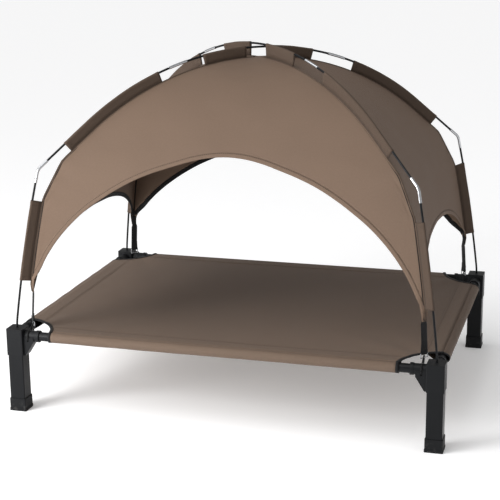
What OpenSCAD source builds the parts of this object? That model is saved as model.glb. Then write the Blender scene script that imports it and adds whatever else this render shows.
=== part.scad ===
// Raised pet bed with a sling on a tube frame and a cross-pole canopy.
// Millimetres, +Z up. The origin is on the floor, under the middle of the bed.
// X runs along the bed's width, and -Y is the front.

/* [Bed] */
// Width of the bed over its feet, left to right
bed_w = 1220; // [1100:10:1300]
// Depth of the bed over its feet, front to back
bed_d = 904; // [860:2:960]
// Height of the rails' centre lines
rail_z = 218; // [216:0.5:220]
// Outer diameter of the rails
rail_d = 25; // [22:0.5:26]
// Wall of the rails and the legs
tube_wall = 1.5; // [1:0.1:2]

/* [Legs and corner blocks] */
// Width of the square leg tubes
leg_w = 44; // [40:0.5:45]
// Width of the foot caps
cap_w = 50; // [48:0.5:54]
// Height of the foot caps
cap_h = 36; // [24:1:50]
// Width of the square corner blocks
block_w = 48; // [47:0.5:52]
// Height of the corner blocks' flat tops
block_top = 240; // [238:1:250]
// Height of a corner block
block_h = 76; // [70:1:84]
// Outer diameter of the rail sockets
socket_d = 30; // [29:0.5:32]
// Reach of the rail sockets past the block's faces
socket_len = 44; // [40:1:60]

/* [Sling] */
// Thickness of the sling's cloth
sling_t = 2; // [1:0.1:3]
// Radius of the round cut at each corner of the sling
corner_cut_r = 125; // [110:1:140]

/* [Canopy poles] */
// Outer diameter of the pole rods
rod_d = 6; // [5.5:0.5:6.5]
// Outer diameter of the metal ferrules
ferrule_d = 8; // [7.6:0.1:9]
// Height of the lower pole's centre line at its top
apex_z = 982; // [970:1:990]
// Height at which each pole bends from its leg to its roof arc
elbow_z = 680; // [670:1:690]
// Slope of the pole just above the bend, in degrees
roof_slope = 40; // [39:0.5:41]
// Lean of the pole just below the bend, in degrees from upright
lean_top = 13; // [12:0.5:14]
// Lean of the pole just above the corner block
lean_bottom = 8; // [7:0.5:9]

/* [Canopy cloth] */
// Distance from the rods' centre lines to the seams between the panels
seam_in = 28; // [24:1:32]
// Thickness of the canopy's cloth
cloth_t = 1.6; // [1:0.1:2]
// Height of the hem in the middle of the front opening
front_arch_z = 725; // [600:5:740]
// Height of the hem in the middle of the back opening
back_arch_z = 655; // [560:5:700]
// Height of the hem in the middle of each side opening
side_arch_z = 500; // [450:5:600]
// Height of the canopy's four lower tips
tip_z = 338; // [320:1:350]

/* [Straps] */
// Width of the webbing straps
strap_w = 22; // [18:1:24]
// Thickness of the webbing
strap_t = 1.6; // [1:0.1:2]
// Thickness of the strap rings' wire
ring_wire_d = 2.5; // [2:0.1:3]
// Height of the bars that the rings hang from
ring_z = 252; // [250:1:256]

/* [Hidden] */
$fn = 48;
CORNERS = ["fl", "fr", "bl", "br"];

FRAME_BLACK = [0.07, 0.07, 0.075];
CLOTH = [0.42, 0.35, 0.3];
BLACK_TRIM = [0.05, 0.05, 0.05];
STEEL = [0.75, 0.75, 0.77];

// Legs stand at (+-leg_x, +-leg_y), and each pole runs along a diagonal.
leg_x = (bed_w - cap_w) / 2;
leg_y = (bed_d - cap_w) / 2;
socket_r = norm([leg_x, leg_y]);
diagonal = atan2(leg_y, leg_x);

// Fits: the slack of a push fit, and of the poles' tips in the blocks.
push_slack = 0.1;
tip_slack = 0.05;

// Corner block.
edge_r = 3;
leg_depth = 22;
bore_start = rail_d / 2 + 2;
tip_depth = 48;
tip_end_gap = 1;
tip_d = 8;
collar_d = socket_d + 3;
collar_w = 9;
gusset_t = socket_d + 2;
cap_floor = 4;
cap_flange_h = 7;
cap_flange_out = 1;
rail_seat_gap = 0.5;
gusset_reach = 29;
gusset_lip = 1;
gusset_foot = 5;

// Sling: the cloth lies on the rails and is sewn round them in pockets, whose
// crowns sit just inside the cloth.
cloth_gap = 0.2;
pocket_drop = 0.7;
sling_z = rail_z + rail_d / 2 + cloth_gap + pocket_drop;
pocket_d = rail_d + 2 * (cloth_gap + sling_t);
cut_x = bed_w / 2;
cut_y = bed_d / 2;
rail_inset_x = cut_x - leg_x;
rail_inset_y = cut_y - leg_y;
pocket_end_gap = 2.5;
pocket_half_x = cut_x - sqrt(corner_cut_r ^ 2 - rail_inset_y ^ 2) - pocket_end_gap;
pocket_half_y = cut_y - sqrt(corner_cut_r ^ 2 - rail_inset_x ^ 2) - pocket_end_gap;
binding_w = 4;
binding_t = 3.4;

// Poles. A path is a list of [length, turn] runs that start at the top of the
// arch, level, and bend down to the corner block.
bend_r = 30;
grip = 26;
foot_bend_r = 200;
over_gap = 3;
rise_over = rod_d + over_gap;
elbow_turn = 90 - lean_top - roof_slope;
bend_reach = bend_r * tan(elbow_turn / 2);
ferrule_turn = 2;
top_turn = 17.8;
rod_bore_d = rod_d / 2;
cord_d = 2.6;

// The leg of each pole is worked out upwards from the block.
foot_drop = foot_bend_r * sin(lean_bottom);
foot_run = foot_bend_r * (1 - cos(lean_bottom));
leg_turn = lean_top - lean_bottom;
leg_heading = 90 - (lean_top + lean_bottom) / 2;
leg_start = bend_reach + grip;
leg_drop = elbow_z - block_top - leg_start * cos(lean_top) - foot_drop;
leg_chord = leg_drop / sin(leg_heading);
leg_arc = leg_chord * (leg_turn / 2) * PI / 180 / sin(leg_turn / 2);
elbow_r = socket_r - foot_run - leg_chord * cos(leg_heading) - leg_start * sin(lean_top);

function arc_len(r, turn) = r * turn * PI / 180;
function roof_r(top) =
    (elbow_z + elbow_r * tan(roof_slope) - top)
    / (tan(roof_slope) * sin(roof_slope) + cos(roof_slope) - 1);
function roof_run(top) = (elbow_r - roof_r(top) * sin(roof_slope)) / cos(roof_slope);
function pole_path(top) = [
    [arc_len(roof_r(top), top_turn), top_turn],
    [arc_len(roof_r(top), roof_slope - top_turn), roof_slope - top_turn],
    [roof_run(top) - bend_reach, 0],
    [arc_len(bend_r, elbow_turn), elbow_turn],
    [grip, 0],
    [leg_arc, leg_turn],
    [arc_len(foot_bend_r, lean_bottom), lean_bottom],
    [tip_depth - tip_end_gap, 0]
];
POLE_UNDER = pole_path(apex_z);
POLE_OVER = pole_path(apex_z + rise_over);

// Runs of a path by number.
ROOF_ARC = 1;
ROOF_STRAIGHT = 2;
LEG_GRIP = 4;
LEG_ARC = 5;
TIP = 7;
// How far neighbouring runs reach into each other, and how much fatter every
// second one is.
overlap = 0.6;
hair = 0.04;

// A pose on a path is [distance from the axis, height, heading below level].
function advance(p, run) =
    let (chord = run[1] == 0 ? run[0] : 2 * run[0] / (run[1] * PI / 180) * sin(run[1] / 2))
    [p[0] + chord * cos(p[2] + run[1] / 2), p[1] - chord * sin(p[2] + run[1] / 2), p[2] + run[1]];
function pose_at(path, i, top) = i == 0 ? [0, top, 0] : advance(pose_at(path, i - 1, top), path[i - 1]);
function walk(path, s, p, i = 0) =
    i >= len(path) ? p
    : s <= path[i][0] ? advance(p, [s, path[i][1] * s / path[i][0]])
    : walk(path, s - path[i][0], advance(p, path[i]), i + 1);

// Seam between two panels, seam_in inside the rods of the roof and of the legs.
// Between them it cuts the corner of the pole's bend with a straight run, and
// below the lower sleeve it turns in to the ring.
seam_top_r = roof_r(apex_z) - seam_in;
seam_leg_r = leg_arc / (leg_turn * PI / 180) - seam_in;
seam_bend_r = 60;
seam_cut_heading = 60.5;
seam_leg_from = 0.13;
seam_leg_to = 0.72;
seam_tip_heading = 98;
seam_tip_run = 60;
seam_leg_heading = 90 - lean_top + leg_turn * seam_leg_from;
function heading(a) = [cos(a), -sin(a)];
function bend_chord(r, from, to) = 2 * r * sin((to - from) / 2) * heading((from + to) / 2);
seam_roof_end = [seam_top_r * sin(roof_slope), apex_z - seam_in - seam_top_r * (1 - cos(roof_slope))];
rod_leg_from = walk([POLE_UNDER[LEG_ARC]], leg_arc * seam_leg_from, pose_at(POLE_UNDER, LEG_ARC, apex_z));
seam_leg_start =
    [rod_leg_from[0], rod_leg_from[1]] - seam_in * [sin(seam_leg_heading), cos(seam_leg_heading)];
seam_gap_run =
    seam_leg_start - seam_roof_end
    - bend_chord(seam_bend_r, roof_slope, seam_cut_heading)
    - bend_chord(seam_bend_r, seam_cut_heading, seam_leg_heading);
seam_turn = cross(heading(roof_slope), heading(seam_cut_heading));
seam_straight = cross(seam_gap_run, heading(seam_cut_heading)) / seam_turn;
seam_cut = cross(heading(roof_slope), seam_gap_run) / seam_turn;
seam_leg_turn = leg_turn * (seam_leg_to - seam_leg_from);
seam_tip_turn = seam_tip_heading - seam_leg_heading - seam_leg_turn;
SEAM = [
    [arc_len(seam_top_r, roof_slope), roof_slope],
    [seam_straight, 0],
    [arc_len(seam_bend_r, seam_cut_heading - roof_slope), seam_cut_heading - roof_slope],
    [seam_cut, 0],
    [arc_len(seam_bend_r, seam_leg_heading - seam_cut_heading), seam_leg_heading - seam_cut_heading],
    [arc_len(seam_leg_r, seam_leg_turn), seam_leg_turn],
    [arc_len(seam_bend_r, seam_tip_turn), seam_tip_turn],
    [seam_tip_run, 0]
];
SEAM_TOP = [0, apex_z - seam_in, 0];
seam_length = [for (run = SEAM) run[0]] * [for (run = SEAM) 1];
// Length along the seam at which it passes a height.
function seam_s(z, lo, hi, n = 0) =
    n > 22 ? lo
    : let (mid = (lo + hi) / 2)
      walk(SEAM, mid, SEAM_TOP)[1] > z ? seam_s(z, mid, hi, n + 1) : seam_s(z, lo, mid, n + 1);
tip_s = seam_s(tip_z, 0, seam_length);
tip_pose = walk(SEAM, tip_s, SEAM_TOP);

// Sleeves round the rods.
sleeve_slack = 0.6;
sleeve_reach = seam_in + 2;
lower_sleeve_span = [seam_leg_from, seam_leg_to];
upper_sleeve_from = 22.2;
upper_sleeve_straight = 84;
top_sleeve_turns = [2.8, 12.2];

// Panels.
panel_rows = 15;
panel_cols = 15;
panel_start = 5;
seam_gap = 1.7;
hem_s = 0.975;
front_power = 1.9;
back_power = 1.6;
side_power = 2.2;
wide_sag = 22;
side_sag = 14;

// Straps and rings.
strap_overlap = 13;
sewn_gap = 0.4;
ring_inset = 46.26;
ring_r = socket_r - ring_inset;
ring_drop = 11.5;
ring_gap = 1.5;
ring_slack = 0.06;
ring_loop_slack = 0.2;
ring_loop_d = ring_wire_d + 2 * strap_t + ring_loop_slack;
elastic_d = 3.5;
elastic_x = ring_inset * cos(diagonal);
elastic_notch = 1;
elastic_lap = 4;

module square_bar(w, h) {
    linear_extrude(height = h) {
        square([w - 2 * edge_r, w], center = true);
        square([w, w - 2 * edge_r], center = true);
        for (x = [-1, 1], y = [-1, 1])
            translate([x * (w / 2 - edge_r), y * (w / 2 - edge_r)]) circle(r = edge_r, $fn = 24);
    }
}

// Places a child made for the front left corner at any corner: its +X and +Y
// point in towards the middle of the bed.
module at_corner(name) {
    sx = name[1] == "l" ? -1 : 1;
    sy = name[0] == "f" ? -1 : 1;
    translate([sx * leg_x, sy * leg_y, 0])
        mirror([sx > 0 ? 1 : 0, 0, 0])
            mirror([0, sy > 0 ? 1 : 0, 0])
                children();
}

// Stands a drawing made in the X-Z plane on the diagonal to one corner.
module on_diagonal(name) {
    sx = name[1] == "l" ? -1 : 1;
    sy = name[0] == "f" ? -1 : 1;
    rotate([0, 0, atan2(sy * leg_y, sx * leg_x)]) children();
}

function is_over(name) = name == "fr" || name == "bl";
function path_of(name) = is_over(name) ? POLE_OVER : POLE_UNDER;
function top_of(name) = is_over(name) ? apex_z + rise_over : apex_z;

module rail_socket() {
    rotate([0, 90, 0]) {
        cylinder(d = socket_d, h = block_w / 2 + socket_len);
        translate([0, 0, block_w / 2 + socket_len - collar_w]) cylinder(d = collar_d, h = collar_w);
    }
}

module gusset() {
    translate([0, gusset_t / 2, 0])
        rotate([90, 0, 0])
            linear_extrude(height = gusset_t)
                polygon([
                    [0, rail_z], [block_w / 2 + gusset_reach, rail_z],
                    [block_w / 2 + gusset_reach, rail_z - socket_d / 2 - gusset_lip],
                    [block_w / 2 + gusset_foot, block_top - block_h],
                    [0, block_top - block_h]
                ]);
}

// Groove through the gusset, round the socket, in which the elastic lies.
module elastic_groove() {
    w = elastic_d + 2 * elastic_notch;
    translate([elastic_x - w / 2, 0, rail_z])
        rotate([0, 90, 0])
            difference() {
                cylinder(d = socket_d + 2 * w, h = w);
                translate([0, 0, -1]) cylinder(d = socket_d - hair, h = w + 2);
            }
}

module corner_block(name) {
    color(FRAME_BLACK)
        at_corner(name)
            difference() {
                union() {
                    translate([0, 0, block_top - block_h]) square_bar(block_w, block_h);
                    translate([0, 0, rail_z]) rail_socket();
                    translate([0, 0, rail_z]) rotate([0, 0, 90]) rail_socket();
                    gusset();
                    rotate([0, 0, 90]) gusset();
                }
                translate([bore_start, 0, rail_z])
                    rotate([0, 90, 0]) cylinder(d = rail_d + push_slack, h = block_w + socket_len);
                translate([0, bore_start, rail_z])
                    rotate([-90, 0, 0]) cylinder(d = rail_d + push_slack, h = block_w + socket_len);
                translate([0, 0, block_top - tip_depth])
                    cylinder(d = tip_d + 2 * tip_slack, h = tip_depth + 1);
                translate([0, 0, block_top - block_h - 1]) square_bar(leg_w + push_slack, leg_depth + 1);
                elastic_groove();
            }
}

module leg(name) {
    leg_top = block_top - block_h + leg_depth;
    color(FRAME_BLACK)
        at_corner(name)
            translate([0, 0, cap_floor])
                difference() {
                    square_bar(leg_w, leg_top - cap_floor);
                    translate([0, 0, -1])
                        linear_extrude(height = leg_top) square(leg_w - 2 * tube_wall, center = true);
                }
}

module foot_cap(name) {
    color(FRAME_BLACK)
        at_corner(name)
            difference() {
                union() {
                    square_bar(cap_w, cap_flange_h);
                    square_bar(cap_w - 2 * cap_flange_out, cap_h);
                }
                translate([0, 0, cap_floor]) square_bar(leg_w + push_slack, cap_h);
            }
}

module tube(l, d, wall) {
    difference() {
        cylinder(d = d, h = l, center = true);
        cylinder(d = d - 2 * wall, h = l + 2, center = true);
    }
}

// A rail along X at the front or back, or along Y at the left or right.
module rail(name) {
    along_x = name == "front" || name == "back";
    side = name == "front" || name == "left" ? -1 : 1;
    seat = bore_start + rail_seat_gap;
    color(FRAME_BLACK)
        translate(along_x ? [0, side * leg_y, rail_z] : [side * leg_x, 0, rail_z])
            rotate(along_x ? [0, 90, 0] : [90, 0, 0])
                tube(2 * ((along_x ? leg_x : leg_y) - seat), rail_d, tube_wall);
}

module sling_outline() {
    difference() {
        square([2 * leg_x, 2 * leg_y], center = true);
        for (x = [-1, 1], y = [-1, 1]) translate([x * cut_x, y * cut_y]) circle(r = corner_cut_r, $fn = 96);
    }
}

module pocket(half_length) {
    tube(2 * half_length, pocket_d, sling_t);
}

module sling() {
    color(CLOTH) {
        translate([0, 0, sling_z]) linear_extrude(height = sling_t) sling_outline();
        for (y = [-1, 1])
            translate([0, y * leg_y, rail_z]) rotate([0, 90, 0]) pocket(pocket_half_x);
        for (x = [-1, 1])
            translate([x * leg_x, 0, rail_z]) rotate([90, 0, 0]) pocket(pocket_half_y);
    }
}

module sling_binding() {
    color(BLACK_TRIM)
        for (x = [-1, 1], y = [-1, 1])
            translate([0, 0, sling_z])
                linear_extrude(height = binding_t)
                    intersection() {
                        translate([x * cut_x, y * cut_y])
                            difference() {
                                circle(r = corner_cut_r - 0.1, $fn = 96);
                                circle(r = corner_cut_r - binding_w, $fn = 96);
                            }
                        square([2 * leg_x, 2 * leg_y], center = true);
                    }
}

// One run of a path, with a round or keyhole section drawn by its child. The
// section's +X points out of the arch. Neighbouring runs reach a little into
// each other: ends is [start, end], the length added at each, and skip leaves
// out the first part of a straight run.
module run_on(path, i, top, ends, skip = 0) {
    p = pose_at(path, i, top);
    run = path[i];
    translate([p[0], 0, p[1]])
        rotate([0, p[2], 0])
            if (run[1] == 0) {
                translate([skip - ends[0], 0, 0])
                    rotate([0, 90, 0])
                        rotate([0, 0, 180])
                            linear_extrude(height = run[0] - skip + ends[0] + ends[1]) children();
            } else {
                bend = run[0] / (run[1] * PI / 180);
                degree = 180 / PI / bend;
                translate([0, 0, -bend])
                    rotate([90, 0, 0])
                        rotate([0, 0, 90 - run[1] - ends[1] * degree])
                            rotate_extrude(angle = run[1] + (ends[0] + ends[1]) * degree, $fn = 96)
                                translate([bend, 0]) children();
            }
}

function is_odd(i) = i % 2 == 1;
// Every second run is a hair fatter, and reaches into the runs beside it.
function run_ends(i, first, last) =
    is_odd(i) ? [i > first ? overlap : 0, i < last ? overlap : 0] : [0, 0];
function fat(i) = is_odd(i) ? hair : 0;

module ring_section(outer, inner, more = 0) {
    difference() {
        circle(d = outer + more);
        circle(d = inner - more);
    }
}

module rod_runs(name, first, last) {
    on_diagonal(name)
        for (i = [first:last])
            run_on(path_of(name), i, top_of(name), run_ends(i, first, last))
                ring_section(i == TIP ? tip_d : rod_d, rod_bore_d, fat(i));
}

module lower_rod(name) {
    color(BLACK_TRIM) rod_runs(name, LEG_GRIP, TIP);
}

module upper_rod(name) {
    color(BLACK_TRIM) rod_runs(name, ROOF_ARC, ROOF_STRAIGHT);
}

module elbow_ferrule(name) {
    path = path_of(name);
    color(STEEL)
        on_diagonal(name)
            for (i = [ROOF_STRAIGHT:LEG_GRIP])
                run_on(path, i, top_of(name), run_ends(i, ROOF_STRAIGHT, LEG_GRIP),
                    i == ROOF_STRAIGHT ? path[i][0] - grip : 0)
                    ring_section(ferrule_d, rod_d + push_slack, fat(i));
}

// An arc of a roof between two turns from its top, with a section as its child.
module roof_piece(name, from, to) {
    r = roof_r(top_of(name));
    on_diagonal(name)
        translate([0, 0, top_of(name) - r])
            rotate([90, 0, 0])
                rotate([0, 0, 90 - to])
                    rotate_extrude(angle = to - from, $fn = 96) translate([r, 0]) children();
}

module straight_ferrules() {
    color(STEEL)
        for (name = CORNERS)
            roof_piece(name, top_turn - ferrule_turn, top_turn + ferrule_turn)
                ring_section(ferrule_d, rod_d + push_slack);
}

module top_rod(name) {
    color(BLACK_TRIM) roof_piece(name, -top_turn, top_turn) ring_section(rod_d, rod_bore_d);
}

// The elastic cord inside a pole, from tip to tip. names are its two corners.
module shock_cord(names) {
    color(BLACK_TRIM) {
        roof_piece(names[0], -top_turn, top_turn) circle(d = cord_d);
        for (name = names)
            on_diagonal(name)
                for (i = [ROOF_ARC:TIP])
                    run_on(path_of(name), i, top_of(name),
                        [is_odd(i) ? overlap : 0, is_odd(i) && i < TIP ? overlap : 0])
                        circle(d = cord_d + fat(i));
    }
}

// Keyhole section of a sleeve: a tube for the rod and a doubled web to the seam.
module sleeve_section(more = 0) {
    inner = rod_d + 2 * sleeve_slack;
    outer = inner + 2 * cloth_t;
    difference() {
        union() {
            circle(d = outer + more);
            translate([-sleeve_reach, -(cloth_t + more) / 2]) square([sleeve_reach - inner / 2, cloth_t + more]);
        }
        circle(d = inner - more / 4);
    }
}

module lower_sleeve(name) {
    path = path_of(name);
    whole = pose_at(path, LEG_ARC, top_of(name));
    r = leg_arc / (leg_turn * PI / 180);
    color(CLOTH)
        on_diagonal(name)
            translate([whole[0], 0, whole[1]])
                rotate([0, whole[2], 0])
                    translate([0, 0, -r])
                        rotate([90, 0, 0])
                            rotate([0, 0, 90 - leg_turn * lower_sleeve_span[1]])
                                rotate_extrude(
                                    angle = leg_turn * (lower_sleeve_span[1] - lower_sleeve_span[0]),
                                    $fn = 96
                                )
                                    translate([r, 0]) sleeve_section();
}

module upper_sleeve(name) {
    path = path_of(name);
    top = top_of(name);
    color(CLOTH) {
        on_diagonal(name)
            difference() {
                run_on(path, ROOF_STRAIGHT, top, [0, 0]) sleeve_section();
                // The ferrule stands clear of the sleeve's end.
                end = walk(path, path[0][0] + path[1][0] + upper_sleeve_straight, [0, top, 0]);
                translate([end[0], 0, end[1]])
                    rotate([0, end[2], 0])
                        translate([0, -ferrule_d, -2 * seam_in])
                            cube([roof_run(top), 2 * ferrule_d, 4 * seam_in]);
            }
        roof_piece(name, upper_sleeve_from, roof_slope + overlap / roof_r(top) * 180 / PI)
            sleeve_section(hair);
    }
}

module top_sleeves() {
    color(CLOTH)
        for (name = CORNERS) roof_piece(name, top_sleeve_turns[0], top_sleeve_turns[1]) sleeve_section();
}

// A canopy panel is a thin shell between two seams, from the top of the canopy
// down to its arched hem. s runs from -1 to 1 across it and t from 0 to 1 down it.
function hem_z(s, arch_z, power) =
    let (q = min(1, abs(s) / hem_s))
    tip_z + (arch_z - tip_z) * (1 - q ^ power) ^ (1 / power);
// A point of the panel that faces -Y, whose two seams are at (+-x, -y) times r.
function panel_point(s, t, along, across, arch_z, power, sag) =
    let (
        len_s = panel_start + (seam_s(hem_z(s, arch_z, power), 0, seam_length) - panel_start) * t,
        p = walk(SEAM, len_s, SEAM_TOP),
        side = p[0] * along - seam_gap * across,
        inward = sag * (1 - s * s) * (p[0] / elbow_r) ^ 2
    )
    [s * side, -(p[0] * across + seam_gap * along) + inward, p[1]];
function unit(v) = v / norm(v);
function panel_normal(s, t, along, across, arch_z, power, sag) =
    let (
        e = 0.01,
        a = panel_point(min(1, s + e), t, along, across, arch_z, power, sag)
            - panel_point(max(-1, s - e), t, along, across, arch_z, power, sag),
        b = panel_point(s, min(1, t + e), along, across, arch_z, power, sag)
            - panel_point(s, max(0, t - e), along, across, arch_z, power, sag)
    )
    unit(cross(b, a));

// Closed shell over a grid of rows and columns: the outer skin's points come
// first, then the inner skin's, row by row.
module shell(outer, inner, rows, cols) {
    n = rows * cols;
    function at(k, i, j) = k * n + i * cols + j;
    skins = [
        for (i = [0:rows - 2], j = [0:cols - 2])
            each [
                [at(0, i, j), at(0, i, j + 1), at(0, i + 1, j + 1)],
                [at(0, i, j), at(0, i + 1, j + 1), at(0, i + 1, j)],
                [at(1, i, j), at(1, i + 1, j + 1), at(1, i, j + 1)],
                [at(1, i, j), at(1, i + 1, j), at(1, i + 1, j + 1)]
            ]
    ];
    ends = [
        for (j = [0:cols - 2])
            each [
                [at(0, 0, j), at(1, 0, j), at(1, 0, j + 1)],
                [at(0, 0, j), at(1, 0, j + 1), at(0, 0, j + 1)],
                [at(0, rows - 1, j), at(1, rows - 1, j + 1), at(1, rows - 1, j)],
                [at(0, rows - 1, j), at(0, rows - 1, j + 1), at(1, rows - 1, j + 1)]
            ]
    ];
    sides = [
        for (i = [0:rows - 2])
            each [
                [at(0, i, 0), at(1, i + 1, 0), at(1, i, 0)],
                [at(0, i, 0), at(0, i + 1, 0), at(1, i + 1, 0)],
                [at(0, i, cols - 1), at(1, i, cols - 1), at(1, i + 1, cols - 1)],
                [at(0, i, cols - 1), at(1, i + 1, cols - 1), at(0, i + 1, cols - 1)]
            ]
    ];
    polyhedron(points = concat(outer, inner), faces = concat(skins, ends, sides));
}

module panel(name) {
    turn = name == "front" ? 0 : name == "back" ? 180 : name == "left" ? -90 : 90;
    wide = name == "front" || name == "back";
    along = cos(wide ? diagonal : 90 - diagonal);
    across = sin(wide ? diagonal : 90 - diagonal);
    arch_z = name == "front" ? front_arch_z : name == "back" ? back_arch_z : side_arch_z;
    power = name == "front" ? front_power : name == "back" ? back_power : side_power;
    sag = wide ? wide_sag : side_sag;
    grid = [
        for (i = [0:panel_rows - 1], j = [0:panel_cols - 1])
            let (
                s = sin(90 * (2 * j / (panel_cols - 1) - 1)),
                t = i / (panel_rows - 1),
                p = panel_point(s, t, along, across, arch_z, power, sag),
                half = panel_normal(s, t, along, across, arch_z, power, sag) * cloth_t / 2
            )
            [p + half, p - half]
    ];
    color(CLOTH)
        rotate([0, 0, turn])
            shell([for (g = grid) g[0]], [for (g = grid) g[1]], panel_rows, panel_cols);
}

// Side view of a strap: it is sewn outside the seam's tip and then hangs to
// the ring's bar.
module strap(name) {
    top = walk(SEAM, tip_s - strap_overlap, SEAM_TOP);
    out = cloth_t + sewn_gap;
    a = [top[0] + out, top[1]];
    b = [tip_pose[0] + out, tip_pose[1]];
    c = [ring_r + ring_loop_d / 2 - strap_t, ring_z];
    color(BLACK_TRIM)
        on_diagonal(name) {
            difference() {
                union() {
                    translate([0, strap_w / 2, 0])
                        rotate([90, 0, 0])
                            linear_extrude(height = strap_w)
                                polygon([a, b, c, c + [strap_t, 0], b + [strap_t, 0], a + [strap_t, 0]]);
                    translate([ring_r, 0, ring_z])
                        rotate([90, 0, 0]) cylinder(d = ring_loop_d, h = strap_w, center = true);
                }
                translate([ring_r, 0, ring_z])
                    rotate([90, 0, 0])
                        cylinder(d = ring_wire_d + 2 * ring_slack, h = strap_w + 2, center = true);
            }
        }
}

// Wire ring that swings on its upper bar in the end of the strap.
module strap_ring(name) {
    half = strap_w / 2 + ring_gap;
    color(STEEL)
        on_diagonal(name)
            translate([ring_r, 0, ring_z]) {
                for (z = [0, -ring_drop])
                    translate([0, 0, z])
                        rotate([90, 0, 0]) cylinder(d = ring_wire_d, h = 2 * half, center = true);
                for (y = [-half, half]) {
                    translate([0, y, -ring_drop]) cylinder(d = ring_wire_d, h = ring_drop);
                    for (z = [0, -ring_drop]) translate([0, y, z]) sphere(d = ring_wire_d);
                }
            }
}

// Closed elastic loop round a rail socket and the lower bar of a ring. It is
// a belt round two circles, square to the rail.
module elastic_loop(name) {
    bar = [elastic_x, ring_inset * sin(diagonal), ring_z - ring_drop];
    socket = [elastic_x, 0, rail_z];
    reach = norm(bar - socket);
    e = unit(bar - socket);
    n = [1, 0, 0];
    w = cross(n, e);
    big = socket_d / 2 + sewn_gap + elastic_d / 2;
    small = (ring_wire_d + elastic_d) / 2 / sin(diagonal) + sewn_gap;
    lean = asin((big - small) / reach);
    run = reach * cos(lean);
    at_corner(name)
        multmatrix([
            [e[0], w[0], n[0], socket[0]],
            [e[1], w[1], n[1], socket[1]],
            [e[2], w[2], n[2], socket[2]],
            [0, 0, 0, 1]
        ]) {
            rotate([0, 0, 90 - lean])
                rotate_extrude(angle = 180 + 2 * lean, $fn = 48) translate([big, 0]) circle(d = elastic_d, $fn = 16);
            translate([reach, 0, 0])
                rotate([0, 0, -90 + lean - elastic_lap])
                    rotate_extrude(angle = 180 - 2 * lean + 2 * elastic_lap, $fn = 48)
                        translate([small, 0]) circle(d = elastic_d + hair, $fn = 16);
            for (side = [-1, 1])
                rotate([0, 0, side * (90 - lean)])
                    translate([big, 0, 0])
                        rotate([-90 * side, 0, 0])
                            mirror([0, 0, 1])
                                translate([0, 0, -overlap])
                                    cylinder(d = elastic_d - hair, h = run + 2 * overlap);
        }
}

module elastic_loops() {
    color(BLACK_TRIM) for (name = CORNERS) elastic_loop(name);
}

corner_block("fl");  // corner_block_fl
corner_block("fr");  // corner_block_fr
corner_block("bl");  // corner_block_bl
corner_block("br");  // corner_block_br
leg("fl");  // leg_fl
leg("fr");  // leg_fr
leg("bl");  // leg_bl
leg("br");  // leg_br
foot_cap("fl");  // foot_cap_fl
foot_cap("fr");  // foot_cap_fr
foot_cap("bl");  // foot_cap_bl
foot_cap("br");  // foot_cap_br
rail("front");  // rail_front
rail("back");  // rail_back
rail("left");  // rail_left
rail("right");  // rail_right
sling();
sling_binding();
lower_rod("fl");  // lower_rod_fl
lower_rod("fr");  // lower_rod_fr
lower_rod("bl");  // lower_rod_bl
lower_rod("br");  // lower_rod_br
elbow_ferrule("fl");  // elbow_ferrule_fl
elbow_ferrule("fr");  // elbow_ferrule_fr
elbow_ferrule("bl");  // elbow_ferrule_bl
elbow_ferrule("br");  // elbow_ferrule_br
upper_rod("fl");  // upper_rod_fl
upper_rod("fr");  // upper_rod_fr
upper_rod("bl");  // upper_rod_bl
upper_rod("br");  // upper_rod_br
straight_ferrules();
top_rod("fl");  // top_rod_under
top_rod("fr");  // top_rod_over
shock_cord(["fl", "br"]);  // shock_cord_under
shock_cord(["fr", "bl"]);  // shock_cord_over
panel("front");  // panel_front
panel("back");  // panel_back
panel("left");  // panel_left
panel("right");  // panel_right
lower_sleeve("fl");  // lower_sleeve_fl
lower_sleeve("fr");  // lower_sleeve_fr
lower_sleeve("bl");  // lower_sleeve_bl
lower_sleeve("br");  // lower_sleeve_br
upper_sleeve("fl");  // upper_sleeve_fl
upper_sleeve("fr");  // upper_sleeve_fr
upper_sleeve("bl");  // upper_sleeve_bl
upper_sleeve("br");  // upper_sleeve_br
top_sleeves();
strap("fl");  // strap_fl
strap("fr");  // strap_fr
strap("bl");  // strap_bl
strap("br");  // strap_br
strap_ring("fl");  // strap_ring_fl
strap_ring("fr");  // strap_ring_fr
strap_ring("bl");  // strap_ring_bl
strap_ring("br");  // strap_ring_br
elastic_loops();
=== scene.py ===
import math

import bmesh
import bpy
from bpy.props import FloatProperty, FloatVectorProperty, PointerProperty
from mathutils import Matrix, Vector, noise


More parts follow.
